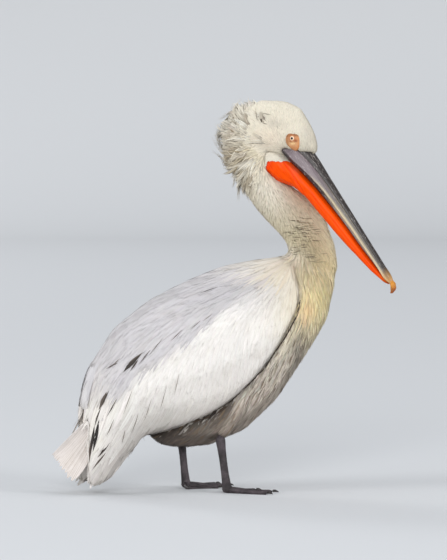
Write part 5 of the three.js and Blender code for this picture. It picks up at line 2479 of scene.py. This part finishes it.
# the ear whorl's dark arcs: partly grey feathers, partly painted shade in its curl
EAR_STREAKS = tuple(
    Streak(*row)
    for row in (
        ("#9A9284", 95, 924, 109, 24, 1.2), ("#4E463A", 104, 914, 98, 15, 2.4),
        ("#6E6558", 108, 915, 120, 12, 1.3), ("#A0988A", 106, 923, 156, 26, 1.2),
        ("#A0988A", 106, 899, 166, 14, 1.1),
    )
)


@dataclass
class DarkWebsAndShadows:
    """The dark webs and painted shadows among the wing's pale feathers and round the ear, on both sides of
    the bird.
    """

    skin: Skin
    # the line under the wing's front edge in the side view: x and z, mm
    edge: Table = (
        (192, 470), (183, 432), (155, 384), (99, 306), (19, 228), (-22, 202),
    )
    step: float = 11.0  # mm between the streaks along it

    def _edge(self) -> tuple[Streak, ...]:
        """The shaded line under the wing's front edge, as overlapping streaks.

        Returns:
            The streaks.
        """
        streaks = []
        for (x, z), (to_x, to_z) in zip(self.edge, self.edge[1:]):
            length = math.hypot(to_x - x, to_z - z)
            angle = math.degrees(math.atan2(z - to_z, x - to_x))
            for step in range(max(int(length / self.step), 1)):
                share = step * self.step / length
                place = (x + (to_x - x) * share, z + (to_z - z) * share)
                # painted shadow: dark brown streaks along the line under the wing's front edge
                streaks.append(Streak("#41372F", *place, angle, 21.0, 2.0))
        return tuple(streaks)

    def build(self, rng: Chance) -> None:
        """Lays every streak on both sides.

        Args:
            rng: the source of chance.
        """
        dark = Plumage("dark_webs_and_shadows", 0.1, 0.3, 0.0).build()
        webs = self._lay("dark_webs_and_shadows", STREAKS + self._edge(), (3.6 * MM, 5.2 * MM), rng)
        webs.build(dark, "flight_feathers")
        whorl = self._lay("ear_whorl", EAR_STREAKS, (2.4 * MM, 3.4 * MM), rng)
        whorl.build(dark, "body_feathers")

    def _lay(
        self, name: str, streaks: tuple[Streak, ...], lifts: tuple[float, float], rng: Chance
    ) -> Tufts:
        """Lays streaks over the skin.

        Args:
            name: the name of the piece.
            streaks: what to lay.
            lifts: how far the roots and points stand over the skin.
            rng: turns each a little.

        Returns:
            The tufts, still to be built.
        """
        tufts = Tufts(name, Vane(8, 8, 0.5, 1.0, 0.1), self.skin)
        for side in (-1, 1):
            for streak in streaks:
                turn = rng.normal(0, 0.02 if side < 0 else 0.08)
                start = Vector((streak.x * MM, 0.6 * side, streak.z * MM))
                hit = self.skin.tree.ray_cast(start, Vector((0, -side, 0)))[0]
                if hit is None:
                    continue
                angle = math.radians(streak.angle)
                line = np.array([[-math.cos(angle), 0.0, -math.sin(angle)]])
                shafts = tufts.march(np.array([hit]), np.array([streak.length * MM]), turn, 0.0, line)
                width = np.array([streak.half_width * MM])
                tufts.dress(shafts, width, lifts, 0.35 * MM, rgb(streak.colour)[None])
        return tufts


@dataclass
class Coat:
    """All the body's small feathers, tract by tract."""

    def regions(self) -> list[CoatRegion]:
        """Sets out the regions in their order of making.

        Returns:
            The regions.
        """
        soft = Plumage("soft_feathers", 0.12, 0.2, 0.18)
        covert = Plumage("covert_feathers", 0.12, 0.2, 0.12)
        quill = Plumage("quill_feathers", 0.35, 0.25, 0.12, "#A59B8E")
        return [
            CoatRegion(
                "head_feathers", (Tract.HEAD,), 2.0, (8, 12), (1.1, 1.6), (0.2, 1.4), 0.08,
                Vane(4, 2, 0.45, 0.7), soft, "body_feathers", loose=0.16, tint=0.04,
                fit=lambda p: 1 + 1.1 * grade(p[:, 0], 0.125, -0.04),
            ),
            CoatRegion(
                "crest_down", (Tract.CREST,), 2.6, (18, 32), (1.0, 1.6), (0.3, 10.0), 0.2,
                Vane(4, 3, 0.4, 0.9), soft, "crest_feathers", loose=0.35, ruffle=0.5, tint=0.1,
            ),
            CoatRegion(
                "neck_feathers", (Tract.NECK,), 2.9, (13, 20), (1.4, 2.1), (0.2, 2.4), 0.1,
                Vane(4, 2, 0.45, 0.7), soft, "body_feathers", loose=0.24, ruffle=0.35,
            ),
            CoatRegion(
                "breast_and_belly_feathers", (Tract.TRUNK, Tract.THIGH), 4.6, (30, 48), (1.9, 2.9),
                (0.3, 3.6), 0.12, Vane(4, 3, 0.45, 0.8), soft, "body_feathers", loose=0.18, ruffle=0.3,
                tint=0.11, overhang=(1, 3), fleck=("#84715C", 0.16),
            ),
            CoatRegion(
                "wing_covert_feathers", (Tract.COVERT,), 5.2, (60, 88), (2.9, 4.0), (0.4, 2.4),
                0.1, Vane(4, 4, 0.5, 0.6), covert, "covert_feathers", loose=0.045, camber=0.04, tint=0.025,
            ),
            CoatRegion(
                "secondary_feathers", (Tract.FLIGHT,), 6.4, (90, 130), (3.8, 5.2), (0.4, 3.0),
                0.12, Vane(4, 5, 0.6, 0.5), quill, "flight_feathers", loose=0.04, camber=0.04, tint=0.025,
                overhang=(4, 14), least=0.12,
            ),
            CoatRegion(
                "primary_feathers", (Tract.TIP,), 10.0, (130, 200), (5.5, 7.5), (0.4, 4.0),
                0.15, Vane(8, 9, 0.65, 0.45), quill, "flight_feathers", loose=0.035, camber=0.04,
                tint=0.03, overhang=(2, 12), least=0.2,
            ),
            CoatRegion(
                "mantle_feathers", (Tract.MANTLE,), 6.2, (76, 116), (3.8, 5.4), (0.5, 3.2), 0.12,
                Vane(4, 5, 0.5, 0.6), covert, "mantle_feathers", loose=0.05, closely=True, camber=0.04,
                tint=0.03,
            ),
        ]

    def build(self, skin: Skin, rng: Chance) -> None:
        """Builds every region on the skin."""
        for region in self.regions():
            region.build(skin, rng)


def main() -> None:
    """Builds the studio and the bird in order."""
    logging.basicConfig(level=logging.INFO, format="%(message)s")
    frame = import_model()
    rng = np.random.default_rng(SEED)
    Studio().build()
    bill = BillFrame(HeadFrame())
    skin = Skin(bill)
    skin.build(frame["nodes"])
    log.info("skin: %d vertices", len(skin.places))
    Coat().build(skin, rng)
    Tertials(skin).build(rng)
    NeckFolds(skin).build(rng)
    DarkWebsAndShadows(skin).build(rng)
    Crest(skin).build(rng)
    Tail(skin).build(rng)
    UpperBill(bill).build()
    Nail(bill).build(frame["nodes"])
    jaw = Jaw(bill).build(frame["nodes"])
    GapeFeathers(bill, skin).build(jaw, rng)
    for side in ("right", "left"):
        Eye(bill.head, side).build(frame["nodes"])
        Leg(side).build(frame["nodes"])


if __name__ == "__main__":
    main()
